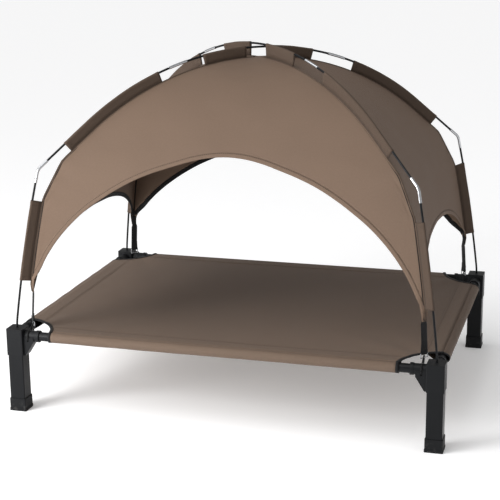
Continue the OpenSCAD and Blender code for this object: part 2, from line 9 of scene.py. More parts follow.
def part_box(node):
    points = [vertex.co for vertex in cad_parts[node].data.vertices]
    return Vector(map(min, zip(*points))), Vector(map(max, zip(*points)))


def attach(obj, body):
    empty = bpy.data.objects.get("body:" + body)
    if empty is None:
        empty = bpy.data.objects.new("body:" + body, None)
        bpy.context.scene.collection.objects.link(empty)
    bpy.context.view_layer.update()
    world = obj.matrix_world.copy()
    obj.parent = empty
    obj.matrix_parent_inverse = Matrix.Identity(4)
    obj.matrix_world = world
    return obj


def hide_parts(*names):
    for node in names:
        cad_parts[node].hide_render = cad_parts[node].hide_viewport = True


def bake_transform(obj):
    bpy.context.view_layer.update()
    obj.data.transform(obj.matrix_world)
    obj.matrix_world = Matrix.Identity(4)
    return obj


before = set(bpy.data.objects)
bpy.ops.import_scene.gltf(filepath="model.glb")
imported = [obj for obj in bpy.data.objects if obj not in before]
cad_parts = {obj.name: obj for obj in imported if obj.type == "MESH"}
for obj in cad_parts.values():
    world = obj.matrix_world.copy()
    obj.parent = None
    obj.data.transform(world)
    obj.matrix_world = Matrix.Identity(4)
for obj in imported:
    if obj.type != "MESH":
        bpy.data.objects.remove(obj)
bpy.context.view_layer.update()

bl_info = {
    "name": "Raised dog bed with canopy",
    "version": (1, 0, 0),
    "blender": (4, 5, 0),
    "location": "3D View > Sidebar > Dog bed",
    "description": "Builds the cloth, cords, straps and finishes of a raised dog bed around its CAD frame",
    "category": "Object",
}

MM = 0.001
CORNERS = ("fl", "fr", "bl", "br")
SIDES = ("front", "right", "back", "left")
UP = Vector((0, 0, 1))


def is_wide(side):
    """The front and the back run along the bed's width."""
    return side in ("front", "back")


def corner_signs(corner):
    """The signs of x and y at a corner."""
    return -1 if corner[1] == "l" else 1, -1 if corner[0] == "f" else 1


# ---------------------------------------------------------------- settings


def length(name, description, default, low, high):
    return FloatProperty(
        name=name, description=description, default=default, min=low, max=high, unit="LENGTH"
    )


def colour(name, description, default):
    return FloatVectorProperty(
        name=name, description=description, default=default, size=4, subtype="COLOR", min=0, max=1
    )


class BedSizes(bpy.types.PropertyGroup):
    sling_sag: length("Sling sag", "How far the sling's middle hangs below its edges", 0.008, 0, 0.03)
    pocket_seam_in: length("Pocket seam", "From a rail to the seam of its pocket", 0.046, 0.03, 0.08)
    binding_width: length("Binding width", "Width of the tape on the sling's corners", 0.0075, 0.006, 0.016)
    hem_width: length("Hem width", "Width of the canopy's folded hems", 0.013, 0.006, 0.02)
    sheet_thickness: length("Cloth thickness", "Thickness of the canopy's cloth", 0.001, 0.0005, 0.002)
    stitch_pitch: length("Stitch pitch", "From one stitch to the next", 0.0052, 0.004, 0.01)
    strap_thickness: length("Strap thickness", "Thickness of the straps", 0.0015, 0.001, 0.002)
    elastic_width: length("Elastic width", "Diameter of the elastic loops", 0.0035, 0.002, 0.005)


class BedColours(bpy.types.PropertyGroup):
    canopy: colour("Canopy", "Colour of the canopy's cloth", (0.162, 0.109, 0.077, 1))
    sling: colour("Sling", "Colour of the sling's cloth", (0.15, 0.104, 0.075, 1))
    plastic: colour("Plastic", "Colour of the moulded corner blocks and caps", (0.0065, 0.007, 0.008, 1))
    tube: colour("Tube", "Colour of the powder-coated tubes", (0.006, 0.0065, 0.0075, 1))
    webbing: colour("Webbing", "Colour of the straps, bindings and cords", (0.006, 0.006, 0.0065, 1))
    steel: colour("Steel", "Colour of the ferrules and rings", (0.56, 0.57, 0.59, 1))


def sizes():
    return bpy.context.scene.dog_bed_sizes


def colours():
    return bpy.context.scene.dog_bed_colours


# ---------------------------------------------------------------- the frame's lines

CAP_LOW, CAP_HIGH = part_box("foot_cap_br")
LEG = Vector(((CAP_LOW.x + CAP_HIGH.x) / 2, (CAP_LOW.y + CAP_HIGH.y) / 2))
DIAGONAL = math.atan2(LEG.y, LEG.x)
BLOCK_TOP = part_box("corner_block_br")[1].z
RAIL_LOW, RAIL_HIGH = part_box("rail_front")
RAIL_RADIUS = (RAIL_HIGH.z - RAIL_LOW.z) / 2
RAIL_HEIGHT = (RAIL_HIGH.z + RAIL_LOW.z) / 2
RING_LOW, RING_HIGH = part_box("strap_ring_br")
RING_WIRE = 2.5 * MM
RING_TOP = RING_HIGH.z - RING_WIRE / 2
RING_BOTTOM = RING_LOW.z + RING_WIRE / 2
RING_REACH = Vector(((RING_LOW.x + RING_HIGH.x) / 2, (RING_LOW.y + RING_HIGH.y) / 2)).length
SOCKET_RADIUS = 15 * MM

ROD_RADIUS = 3 * MM
APEX_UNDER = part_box("top_rod_under")[1].z - ROD_RADIUS
APEX_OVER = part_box("top_rod_over")[1].z - ROD_RADIUS
ELBOW_HEIGHT = 0.680
ROOF_SLOPE = math.radians(40)
LEAN_TOP = math.radians(13)
LEAN_BOTTOM = math.radians(8)
BEND_RADIUS = 30 * MM
GRIP = 26 * MM
FOOT_BEND_RADIUS = 200 * MM
SEAM_IN = 28 * MM
SEAM_BEND_RADIUS = 60 * MM
SEAM_CUT_HEADING = math.radians(60.5)
SEAM_LEG_FROM = 0.13
SEAM_LEG_TO = 0.72
SEAM_TIP_HEADING = math.radians(98)
SEAM_TIP_RUN = 60 * MM
TIP_HEIGHT = 0.338

# The leg of a pole is worked out upwards from the corner block.
ELBOW_TURN = math.pi / 2 - LEAN_TOP - ROOF_SLOPE
BEND_REACH = BEND_RADIUS * math.tan(ELBOW_TURN / 2)
LEG_TURN = LEAN_TOP - LEAN_BOTTOM
LEG_HEADING = math.pi / 2 - (LEAN_TOP + LEAN_BOTTOM) / 2
LEG_START = BEND_REACH + GRIP
LEG_DROP = (
    ELBOW_HEIGHT - BLOCK_TOP - LEG_START * math.cos(LEAN_TOP) - FOOT_BEND_RADIUS * math.sin(LEAN_BOTTOM)
)
LEG_CHORD = LEG_DROP / math.sin(LEG_HEADING)
LEG_ARC = LEG_CHORD * (LEG_TURN / 2) / math.sin(LEG_TURN / 2)
ELBOW_REACH = (
    LEG.length
    - FOOT_BEND_RADIUS * (1 - math.cos(LEAN_BOTTOM))
    - LEG_CHORD * math.cos(LEG_HEADING)
    - LEG_START * math.sin(LEAN_TOP)
)


def advance(pose, run):
    """The pose at the end of a [length, turn] run; a pose is (reach, height, heading below level)."""
    along, turn = run
    chord = along if turn == 0 else 2 * along / turn * math.sin(turn / 2)
    half = pose[2] + turn / 2
    return pose[0] + chord * math.cos(half), pose[1] - chord * math.sin(half), pose[2] + turn


def walk(path, along, start):
    pose = start
    for run in path:
        if along <= run[0]:
            return advance(pose, (along, run[1] * along / run[0]))
        along -= run[0]
        pose = advance(pose, run)
    return pose


def roof_radius(apex):
    slope = ROOF_SLOPE
    return (ELBOW_HEIGHT + ELBOW_REACH * math.tan(slope) - apex) / (
        math.tan(slope) * math.sin(slope) + math.cos(slope) - 1
    )


def pole_path(apex):
    radius = roof_radius(apex)
    straight = (ELBOW_REACH - radius * math.sin(ROOF_SLOPE)) / math.cos(ROOF_SLOPE) - BEND_REACH
    return [
        (radius * ROOF_SLOPE, ROOF_SLOPE),
        (straight, 0),
        (BEND_RADIUS * ELBOW_TURN, ELBOW_TURN),
        (GRIP, 0),
        (LEG_ARC, LEG_TURN),
        (FOOT_BEND_RADIUS * LEAN_BOTTOM, LEAN_BOTTOM),
    ]


def run_length(path, count):
    return sum(run[0] for run in path[:count])


def bend_chord(radius, start, end):
    half = (start + end) / 2
    return 2 * radius * math.sin((end - start) / 2) * Vector((math.cos(half), -math.sin(half)))


def seam_path():
    """The seam keeps SEAM_IN inside the rods, cuts the corner of their bend, and turns in to the rings."""
    roof = roof_radius(APEX_UNDER) - SEAM_IN
    leg = LEG_ARC / LEG_TURN - SEAM_IN
    leg_heading = math.pi / 2 - LEAN_TOP + LEG_TURN * SEAM_LEG_FROM
    path = pole_path(APEX_UNDER)
    rod = walk(path, run_length(path, 4) + LEG_ARC * SEAM_LEG_FROM, (0, APEX_UNDER, 0))
    joined = Vector(rod[:2]) - SEAM_IN * Vector((math.sin(leg_heading), math.cos(leg_heading)))
    roof_end = Vector(
        (roof * math.sin(ROOF_SLOPE), APEX_UNDER - SEAM_IN - roof * (1 - math.cos(ROOF_SLOPE)))
    )
    gap = joined - roof_end
    gap -= bend_chord(SEAM_BEND_RADIUS, ROOF_SLOPE, SEAM_CUT_HEADING)
    gap -= bend_chord(SEAM_BEND_RADIUS, SEAM_CUT_HEADING, leg_heading)
    down_roof = Vector((math.cos(ROOF_SLOPE), -math.sin(ROOF_SLOPE)))
    down_cut = Vector((math.cos(SEAM_CUT_HEADING), -math.sin(SEAM_CUT_HEADING)))
    turn = down_roof.cross(down_cut)
    leg_turn = LEG_TURN * (SEAM_LEG_TO - SEAM_LEG_FROM)
    tip_turn = SEAM_TIP_HEADING - leg_heading - leg_turn
    return [
        (roof * ROOF_SLOPE, ROOF_SLOPE),
        (gap.cross(down_cut) / turn, 0),
        (SEAM_BEND_RADIUS * (SEAM_CUT_HEADING - ROOF_SLOPE), SEAM_CUT_HEADING - ROOF_SLOPE),
        (down_roof.cross(gap) / turn, 0),
        (SEAM_BEND_RADIUS * (leg_heading - SEAM_CUT_HEADING), leg_heading - SEAM_CUT_HEADING),
        (leg * leg_turn, leg_turn),
        (SEAM_BEND_RADIUS * tip_turn, tip_turn),
        (SEAM_TIP_RUN, 0),
    ]


SEAM = seam_path()
SEAM_TOP = (0, APEX_UNDER - SEAM_IN, 0)
SEAM_LENGTH = run_length(SEAM, len(SEAM))


def seam_at(along):
    return walk(SEAM, min(max(along, 0), SEAM_LENGTH), SEAM_TOP)


def seam_to(height):
    """Length along the seam at which it passes a height."""
    low, high = 0, SEAM_LENGTH
    for _ in range(24):
        middle = (low + high) / 2
        if seam_at(middle)[1] > height:
            low = middle
        else:
            high = middle
    return low


TIP_ALONG = seam_to(TIP_HEIGHT)
SEAM_SAMPLES = [Vector(seam_at(SEAM_LENGTH * i / 600)[:2]) for i in range(601)]


def diagonal_angle(corner):
    sx, sy = corner_signs(corner)
    return math.atan2(sy * LEG.y, sx * LEG.x)


def on_diagonal(corner, reach, height, aside=0.0):
    """A point in the upright plane through one corner's pole, and aside from it."""
    angle = diagonal_angle(corner)
    return Vector(
        (
            reach * math.cos(angle) - aside * math.sin(angle),
            reach * math.sin(angle) + aside * math.cos(angle),
            height,
        )
    )


def apex_of(corner):
    return APEX_OVER if corner in ("fr", "bl") else APEX_UNDER


# ---------------------------------------------------------------- meshes


def ripple(point, size, seed):
    """Smooth seeded noise from -1 to 1, with features of a size in metres."""
    return noise.noise(Vector(point) / size + Vector((seed * 7.3, seed * 3.1, seed * 5.7)))


def add_object(name, data):
    made = bpy.data.objects.new(name, data)
    bpy.context.scene.collection.objects.link(made)
    return made


def mesh_piece(name, points, faces, uvs, finish, slot, body="canopy"):
    """A smooth piece on a body, with its finish, and cloth coordinates in metres."""
    mesh = bpy.data.meshes.new(name)
    mesh.from_pydata(points, [], faces)
    mesh.validate()
    layer = mesh.uv_layers.new(name="cloth")
    for loop in mesh.loops:
        layer.data[loop.index].uv = uvs[loop.vertex_index]
    mesh.polygons.foreach_set("use_smooth", [True] * len(mesh.polygons))
    mesh.materials.append(finish)
    piece = add_object(name, mesh)
    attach(piece, body)
    return piece


def solidify(piece, thickness):
    shell = piece.modifiers.new("thickness", "SOLIDIFY")
    shell.thickness = thickness
    shell.offset = 0
    shell.use_quality_normals = True


class Build:
    """Collects the parts of one mesh."""

    def __init__(self):
        self.points = []
        self.faces = []
        self.uvs = []

    def loft(self, rows, closed=True, caps=True, across=0.001, along=0.001):
        """Joins rows of points; closed joins each row's ends, caps fills the first and last row."""
        base = len(self.points)
        count = len(rows[0])
        for i, row in enumerate(rows):
            self.points.extend(row)
            self.uvs.extend([(j * across, i * along) for j in range(count)])
        turns = count if closed else count - 1
        for i in range(len(rows) - 1):
            for j in range(turns):
                a = base + i * count + j
                b = base + i * count + (j + 1) % count
                self.faces.append((a, b, b + count, a + count))
        if caps:
            self.faces.append(tuple(base + j for j in reversed(range(count))))
            self.faces.append(tuple(base + (len(rows) - 1) * count + j for j in range(count)))

    def piece(self, name, **facts):
        made = mesh_piece(name, self.points, self.faces, self.uvs, **facts)
        mesh = bmesh.new()
        mesh.from_mesh(made.data)
        bmesh.ops.recalc_face_normals(mesh, faces=mesh.faces)
        mesh.to_mesh(made.data)
        mesh.free()
        return made


def frames_along(line, up, closed=False):
    """(point, forward, side, up) at each point of a line, with up kept near a given direction."""
    made = []
    count = len(line)
    for i, point in enumerate(line):
        before = line[i - 1] if i > 0 or closed else point
        after = line[(i + 1) % count] if i < count - 1 or closed else point
        forward = (after - before).normalized()
        wanted = up[i] if isinstance(up, list) else up
        side = forward.cross(wanted).normalized()
        made.append((point, forward, side, side.cross(forward).normalized()))
    return made


def tube(build, line, radius, sides=10, up=UP, closed=False):
    angles = [2 * math.pi * j / sides for j in range(sides)]
    rows = [
        [point + radius * (side * math.cos(a) + rise * math.sin(a)) for a in angles]
        for point, _, side, rise in frames_along(line, up, closed)
    ]
    if closed:
        rows.append(rows[0])
    step = (line[1] - line[0]).length
    build.loft(rows, caps=not closed, across=2 * math.pi * radius / sides, along=step)


def ribbon(build, line, up, widths, thickness):
    """A flat strap along a line; up holds the direction its face looks at each point."""
    t = thickness / 2
    edge = t * 0.9
    rows = []
    for (point, _, side, rise), width in zip(frames_along(line, up), widths):
        half = width / 2
        quarter = [(half * 0.4, t * 1.04), (half - edge, t), (half, t * 0.3)]
        left = [(-u, v) for u, v in reversed(quarter)]
        upper = left + quarter
        section = [(u, -v) for u, v in upper] + upper[::-1]
        rows.append([point + side * u + rise * v for u, v in section])
    travelled = 0
    base = len(build.points)
    build.loft(rows)
    for i in range(len(rows)):
        travelled += (line[i] - line[i - 1]).length if i else 0
        for j, (u, _) in enumerate(section):
            build.uvs[base + i * len(section) + j] = (u, travelled)


def evenly(line, step):
    """Points along a line at an even step, as (point, direction, share)."""
    total = sum((b - a).length for a, b in zip(line, line[1:]))
    count = max(1, int(total / step))
    made = []
    wanted = [total * (k + 0.5) / count for k in range(count)]
    done = 0
    for a, b in zip(line, line[1:]):
        piece = (b - a).length
        while wanted and wanted[0] <= done + piece:
            share = (wanted[0] - done) / max(piece, 1e-9)
            made.append((a.lerp(b, share), (b - a).normalized(), wanted[0] / total))
            wanted.pop(0)
        done += piece
    return made


STITCH_SHARE = 0.68
STITCH_SHAPE = ((-1, 0.55, -0.6), (-0.5, 1, 0.5), (0.5, 1, 0.5), (1, 0.55, -0.6))
STITCH_ANGLES = [math.pi / 5 * (2 * k) for k in range(5)]


def stitch_row(build, line, up, thread=0.45 * MM):
    """Short threads along a line, each sunk at both of its ends; thread is its radius."""
    pitch = sizes().stitch_pitch
    half = pitch * STITCH_SHARE / 2
    for point, forward, share in evenly(line, pitch):
        wanted = up[min(len(up) - 1, int(share * len(up)))] if isinstance(up, list) else up
        side = forward.cross(wanted).normalized()
        rise = side.cross(forward).normalized()
        rows = []
        for at, size, sink in STITCH_SHAPE:
            middle = point + forward * half * at + rise * thread * sink
            rows.append(
                [
                    middle + thread * size * (side * math.cos(a) + rise * math.sin(a) * 0.8)
                    for a in STITCH_ANGLES
                ]
            )
        build.loft(rows)


# ---------------------------------------------------------------- shaders


def node(tree, kind, place, **values):
    made = tree.nodes.new(kind)
    made.location = place
    for name, value in values.items():
        setattr(made, name, value)
    return made


def maths(tree, operation, place, a, b=None):
    made = node(tree, "ShaderNodeMath", place, operation=operation)
    for socket, value in zip(made.inputs, (a, b)):
        if value is None:
            continue
        if isinstance(value, (int, float)):
            socket.default_value = value
        else:
            tree.links.new(value, socket)
    return made.outputs[0]


def map_range(tree, place, value, low, high, to_low=0.0, to_high=1.0):
    """Maps a value from one range to another."""
    made = node(tree, "ShaderNodeMapRange", place)
    for socket, number in zip(("From Min", "From Max", "To Min", "To Max"), (low, high, to_low, to_high)):
        made.inputs[socket].default_value = number
    tree.links.new(value, made.inputs["Value"])
    return made.outputs["Result"]


def noise_texture(tree, place, vector, detail, scale=None):
    made = node(tree, "ShaderNodeTexNoise", place)
    made.inputs["Detail"].default_value = detail
    if scale is not None:
        made.inputs["Scale"].default_value = scale
    tree.links.new(vector, made.inputs["Vector"])
    return made


def group(name, inputs, outputs):
    """A new node group with named sockets; returns (tree, its input node, its output node)."""
    tree = bpy.data.node_groups.new(name, "ShaderNodeTree")
    for label, kind, default in inputs:
        socket = tree.interface.new_socket(label, in_out="INPUT", socket_type=kind)
        if default is not None:
            socket.default_value = default
    for label, kind in outputs:
        tree.interface.new_socket(label, in_out="OUTPUT", socket_type=kind)
    return tree, node(tree, "NodeGroupInput", (-900, 0)), node(tree, "NodeGroupOutput", (900, 0))


def plain_weave_group():
    """Over-and-under threads in both directions, from cloth coordinates in metres."""
    if "plain_weave" in bpy.data.node_groups:
        return bpy.data.node_groups["plain_weave"]
    tree, start, end = group(
        "plain_weave",
        [
            ("Cloth", "NodeSocketVector", None),
            ("Threads per metre", "NodeSocketFloat", 1500.0),
            ("Slub", "NodeSocketFloat", 0.3),
        ],
        [("Height", "NodeSocketFloat"), ("Shade", "NodeSocketFloat")],
    )
    scale = node(tree, "ShaderNodeVectorMath", (-700, 0), operation="SCALE")
    tree.links.new(start.outputs["Cloth"], scale.inputs[0])
    tree.links.new(start.outputs["Threads per metre"], scale.inputs["Scale"])
    parts = node(tree, "ShaderNodeSeparateXYZ", (-520, 0))
    tree.links.new(scale.outputs[0], parts.inputs[0])
    turns = [maths(tree, "MULTIPLY", (-340, 80 - 160 * i), parts.outputs[i], math.pi) for i in (0, 1)]
    warp = maths(tree, "ABSOLUTE", (0, 120), maths(tree, "SINE", (-160, 120), turns[0]))
    weft = maths(tree, "ABSOLUTE", (0, -60), maths(tree, "SINE", (-160, -60), turns[1]))
    checks = node(tree, "ShaderNodeTexChecker", (-160, -260))
    checks.inputs["Scale"].default_value = 1
    tree.links.new(scale.outputs[0], checks.inputs["Vector"])
    pick = node(tree, "ShaderNodeMix", (180, 40), data_type="FLOAT")
    tree.links.new(checks.outputs["Fac"], pick.inputs["Factor"])
    tree.links.new(warp, pick.inputs["A"])
    tree.links.new(weft, pick.inputs["B"])
    slub = noise_texture(tree, (-160, -480), scale.outputs[0], 3, 0.11)
    uneven = maths(tree, "MULTIPLY", (180, -300), slub.outputs["Fac"], start.outputs["Slub"])
    tree.links.new(maths(tree, "ADD", (420, 40), pick.outputs["Result"], uneven), end.inputs["Height"])
    tree.links.new(map_range(tree, (420, -260), slub.outputs["Fac"], 0.3, 0.7), end.inputs["Shade"])
    return tree


def moulded_grain_group():
    """Fine moulded or coated texture with broad uneven patches."""
    if "moulded_grain" in bpy.data.node_groups:
        return bpy.data.node_groups["moulded_grain"]
    tree, start, end = group(
        "moulded_grain",
        [("Grains per metre", "NodeSocketFloat", 1200.0)],
        [("Height", "NodeSocketFloat"), ("Patches", "NodeSocketFloat")],
    )
    place = node(tree, "ShaderNodeTexCoord", (-700, 0))
    fine = noise_texture(tree, (-400, 120), place.outputs["Object"], 2)
    tree.links.new(start.outputs["Grains per metre"], fine.inputs["Scale"])
    broad = noise_texture(tree, (-400, -160), place.outputs["Object"], 5, 14)
    tree.links.new(fine.outputs["Fac"], end.inputs["Height"])
    tree.links.new(broad.outputs["Fac"], end.inputs["Patches"])
    return tree


def dust_group():
    """Pale dust on faces that look up, and scuffs low down near the floor."""
    if "dust_and_scuffs" in bpy.data.node_groups:
        return bpy.data.node_groups["dust_and_scuffs"]
    tree, start, end = group(
        "dust_and_scuffs",
        [("Scuff height", "NodeSocketFloat", 0.05), ("Dust", "NodeSocketFloat", 0.3)],
        [("Mask", "NodeSocketFloat")],
    )
    place = node(tree, "ShaderNodeTexCoord", (-900, -200))
    parts = node(tree, "ShaderNodeSeparateXYZ", (-700, -200))
    tree.links.new(place.outputs["Object"], parts.inputs[0])
    low = node(tree, "ShaderNodeMapRange", (-500, -200), interpolation_type="SMOOTHSTEP")
    low.inputs["To Min"].default_value = 1
    low.inputs["To Max"].default_value = 0
    tree.links.new(parts.outputs["Z"], low.inputs["Value"])
    tree.links.new(start.outputs["Scuff height"], low.inputs["From Max"])
    marks = noise_texture(tree, (-500, -480), place.outputs["Object"], 6, 90)
    sharp = map_range(tree, (-300, -480), marks.outputs["Fac"], 0.52, 0.68)
    scuffs = maths(tree, "MULTIPLY", (-80, -300), low.outputs["Result"], sharp)
    facing = node(tree, "ShaderNodeNewGeometry", (-700, 200))
    normal = node(tree, "ShaderNodeSeparateXYZ", (-500, 200))
    tree.links.new(facing.outputs["Normal"], normal.inputs[0])
    above = maths(tree, "MAXIMUM", (-300, 200), normal.outputs["Z"], 0.0)
    upward = maths(tree, "POWER", (-120, 200), above, 3.0)
    lying = maths(tree, "MULTIPLY", (100, 160), upward, start.outputs["Dust"])
    patchy = maths(tree, "MULTIPLY", (280, 120), lying, marks.outputs["Fac"])
    tree.links.new(maths(tree, "MAXIMUM", (480, 0), patchy, scuffs), end.inputs["Mask"])
    return tree


def place_group(tree, made, place, **values):
    """Puts a node group into a material with its own values."""
    placed = node(tree, "ShaderNodeGroup", place, node_tree=made)
    for label, value in values.items():
        placed.inputs[label.replace("_", " ")].default_value = value
    return placed


def new_material(name):
    made = bpy.data.materials.get(name)
    if made:
        return made, None, None
    made = bpy.data.materials.new(name)
    made.use_nodes = True
    tree = made.node_tree
    return made, tree, tree.nodes["Principled BSDF"]


def tone(tree, place, factor, dark, light):
    """Mixes two colours by a factor."""
    mix = node(tree, "ShaderNodeMix", place, data_type="RGBA")
    mix.inputs["A"].default_value = dark
    mix.inputs["B"].default_value = light
    tree.links.new(factor, mix.inputs["Factor"])
    return mix.outputs["Result"]


def bump(tree, shader, place, height, distance, strength):
    made = node(tree, "ShaderNodeBump", place)
    made.inputs["Distance"].default_value = distance
    made.inputs["Strength"].default_value = strength
    tree.links.new(height, made.inputs["Height"])
    tree.links.new(made.outputs["Normal"], shader.inputs["Normal"])


def scaled(base, factor):
    return tuple(min(1, c * factor) for c in base[:3]) + (1,)


def cloth(name, base, threads, roughness, sheen, depth=0.00025):
    """Woven cloth: threads in the bump, slubs in the colour and the roughness."""
    made, tree, shader = new_material(name)
    if not tree:
        return made
    coordinates = node(tree, "ShaderNodeUVMap", (-900, 0), uv_map="cloth")
    weave = place_group(tree, plain_weave_group(), (-650, 0), Threads_per_metre=threads, Slub=0.35)
    tree.links.new(coordinates.outputs[0], weave.inputs["Cloth"])
    fade = noise_texture(tree, (-650, -260), coordinates.outputs[0], 4, 5)
    uneven = maths(tree, "ADD", (-400, -160), weave.outputs["Shade"], fade.outputs["Fac"])
    half = maths(tree, "MULTIPLY", (-240, -160), uneven, 0.5)
    dyed = tone(tree, (-60, 60), half, scaled(base, 0.9), scaled(base, 1.08))
    tree.links.new(dyed, shader.inputs["Base Color"])
    rough = map_range(tree, (-60, -200), half, 0.0, 1.0, roughness - 0.06, roughness + 0.06)
    tree.links.new(rough, shader.inputs["Roughness"])
    shader.inputs["Sheen Weight"].default_value = sheen
    shader.inputs["Sheen Roughness"].default_value = 0.4
    shader.inputs["Specular IOR Level"].default_value = 0.25
    bump(tree, shader, (-60, -420), weave.outputs["Height"], depth, 0.6)
    return made


# Sleeves are the canopy's cloth darkened to this share: painted shade, taken from sleeve faces that lie in
# shade.
SLEEVE_PAINTED_SHADE = 0.46
THREAD_SHADE = 0.16


def canopy_cloth():
    return cloth("canopy_polyester", colours().canopy, 1700, 0.76, 0.04)


def shade_painted_sleeve_fabric():
    # The canopy's colour darkened as painted shade, used for the sleeves and the seam welts.
    return cloth("polyester_sleeves_painted_shade", scaled(colours().canopy, SLEEVE_PAINTED_SHADE), 1700, 0.76, 0.04)


def sling_cloth():
    return cloth("sling_polyester", colours().sling, 1100, 0.66, 0.05, 0.0004)


def thread():
    return cloth("sewing_thread", scaled(colours().canopy, THREAD_SHADE), 2600, 0.6, 0.1, 0.0001)


def dark_thread():
    return cloth("dark_sewing_thread", scaled(colours().sling, 0.5), 2600, 0.6, 0.1, 0.0001)


def webbing():
    return cloth("black_webbing", colours().webbing, 700, 0.7, 0.06, 0.0005)


def binding_tape():
    return cloth("black_binding", colours().webbing, 1100, 0.72, 0.05, 0.0003)


def braid():
    return cloth("elastic_braid", colours().webbing, 1300, 0.65, 0.06, 0.0004)


DUST_COLOUR = (0.09, 0.087, 0.083, 1)


def coated(name, base, roughness, grains, grain_depth, scuff_height, dust):
    """Black plastic or powder coat: fine texture, uneven gloss, dust and scuffs."""
    made, tree, shader = new_material(name)
    if not tree:
        return made
    grain = place_group(tree, moulded_grain_group(), (-700, 0), Grains_per_metre=grains)
    dirt = place_group(tree, dust_group(), (-700, -260), Scuff_height=scuff_height, Dust=dust)
    body = tone(tree, (-420, 120), grain.outputs["Patches"], scaled(base, 0.75), scaled(base, 1.3))
    mix = node(tree, "ShaderNodeMix", (-180, 60), data_type="RGBA")
    tree.links.new(body, mix.inputs["A"])
    mix.inputs["B"].default_value = DUST_COLOUR
    dusty = maths(tree, "MULTIPLY", (-420, -260), dirt.outputs["Mask"], 0.35)
    tree.links.new(dusty, mix.inputs["Factor"])
    tree.links.new(mix.outputs["Result"], shader.inputs["Base Color"])
    patches = grain.outputs["Patches"]
    rough = map_range(tree, (-420, -80), patches, 0.3, 0.7, roughness - 0.06, roughness + 0.08)
    dulled = maths(tree, "MULTIPLY", (-300, -340), dirt.outputs["Mask"], 0.25)
    tree.links.new(maths(tree, "ADD", (-180, -140), rough, dulled), shader.inputs["Roughness"])
    shader.inputs["Specular IOR Level"].default_value = 0.16
    bump(tree, shader, (-180, -420), grain.outputs["Height"], grain_depth, 0.5)
    return made


def cord_rubber():
    return coated("shock_cord_sheath", colours().webbing, 0.6, 2600, 0.0003, 0.03, 0.05)


def block_plastic():
    return coated("moulded_black_plastic", colours().plastic, 0.42, 1500, 0.0003, 0.03, 0.2)


def cap_plastic():
    return coated("cap_black_plastic", colours().plastic, 0.5, 1300, 0.0003, 0.045, 0.2)


def powder_coat():
    return coated("black_powder_coat", colours().tube, 0.34, 900, 0.0002, 0.03, 0.12)


def rod_glass_fibre():
    return coated("black_glass_fibre", colours().tube, 0.3, 2200, 0.0001, 0.03, 0.1)


def plated_steel(name, roughness):
    """Bright plated tube or wire with fine drawing lines and dull handling marks."""
    made, tree, shader = new_material(name)
    if not tree:
        return made
    grain = place_group(tree, moulded_grain_group(), (-700, 0), Grains_per_metre=700.0)
    base = colours().steel
    tree.links.new(
        tone(tree, (-420, 120), grain.outputs["Patches"], scaled(base, 0.86), scaled(base, 1.08)),
        shader.inputs["Base Color"],
    )
    patches = grain.outputs["Patches"]
    rough = map_range(tree, (-420, -80), patches, 0.35, 0.65, roughness - 0.05, roughness + 0.1)
    tree.links.new(rough, shader.inputs["Roughness"])
    shader.inputs["Metallic"].default_value = 1
    bump(tree, shader, (-180, -420), grain.outputs["Height"], 0.0001, 0.25)
    return made


FLOOR_SHADES = ((0.93, 0.93, 0.935, 1), (0.96, 0.96, 0.965, 1))


def floor_finish():
    """Plain pale studio floor with a faint unevenness."""
    made, tree, shader = new_material("studio_floor")
    if not tree:
        return made
    grain = place_group(tree, moulded_grain_group(), (-700, 0), Grains_per_metre=60.0)
    tree.links.new(
        tone(tree, (-420, 120), grain.outputs["Patches"], *FLOOR_SHADES), shader.inputs["Base Color"]
    )
    shader.inputs["Roughness"].default_value = 0.8
    shader.inputs["Emission Color"].default_value = (1, 1, 1, 1)
    shader.inputs["Emission Strength"].default_value = 0.2
    return made


def refinish(name, finish, rounding=0.0):
    """Gives a CAD node its finish, and rounds its edges a little where that shows."""
    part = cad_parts[name]
    part.data.materials.clear()
    part.data.materials.append(finish)
    if rounding:
        weld = part.modifiers.new("weld", "WELD")
        weld.merge_threshold = 0.00002
        edges = part.modifiers.new("edges", "BEVEL")
        edges.width = rounding
        edges.segments = 2
        edges.limit_method = "ANGLE"
        edges.angle_limit = math.radians(35)
        edges.use_clamp_overlap = True
        shading = part.modifiers.new("shading", "WEIGHTED_NORMAL")
        shading.keep_sharp = False


# ---------------------------------------------------------------- canopy surface

SIDE_TURN = {"front": 0.0, "right": math.pi / 2, "back": math.pi, "left": -math.pi / 2}
SIDE_ARCH = {"front": (0.725, 1.9), "back": (0.655, 1.6), "left": (0.5, 2.2), "right": (0.5, 2.2)}
SIDE_SAG = {"front": 0.022, "back": 0.022, "left": 0.014, "right": 0.014}
HEM_SHARE = 0.975
HEM_POINTS = 97
HEM_REACH = 0.995
TIP_FLATNESS = 0.85
TIP_FLAT_FROM = 0.405
TIP_FLAT_OVER = 0.045
CLOTH_SLACK = 0.075


def spans_of(side):
    """The shares of a pole's reach that lie across a side's opening and out of it."""
    c, s = math.cos(DIAGONAL), math.sin(DIAGONAL)
    return (c, s) if is_wide(side) else (s, c)


def by_sine(k, count):
    """From -1 to 1 in count steps, closer together towards both ends."""
    return math.sin(math.pi / 2 * (2 * k / count - 1))


def bell(value, middle, spread):
    return math.exp(-(((value - middle) / spread) ** 2))


def hem_height(side, s):
    arch, power = SIDE_ARCH[side]
    q = min(1, abs(s) / HEM_SHARE)
    return TIP_HEIGHT + (arch - TIP_HEIGHT) * (1 - q**power) ** (1 / power)


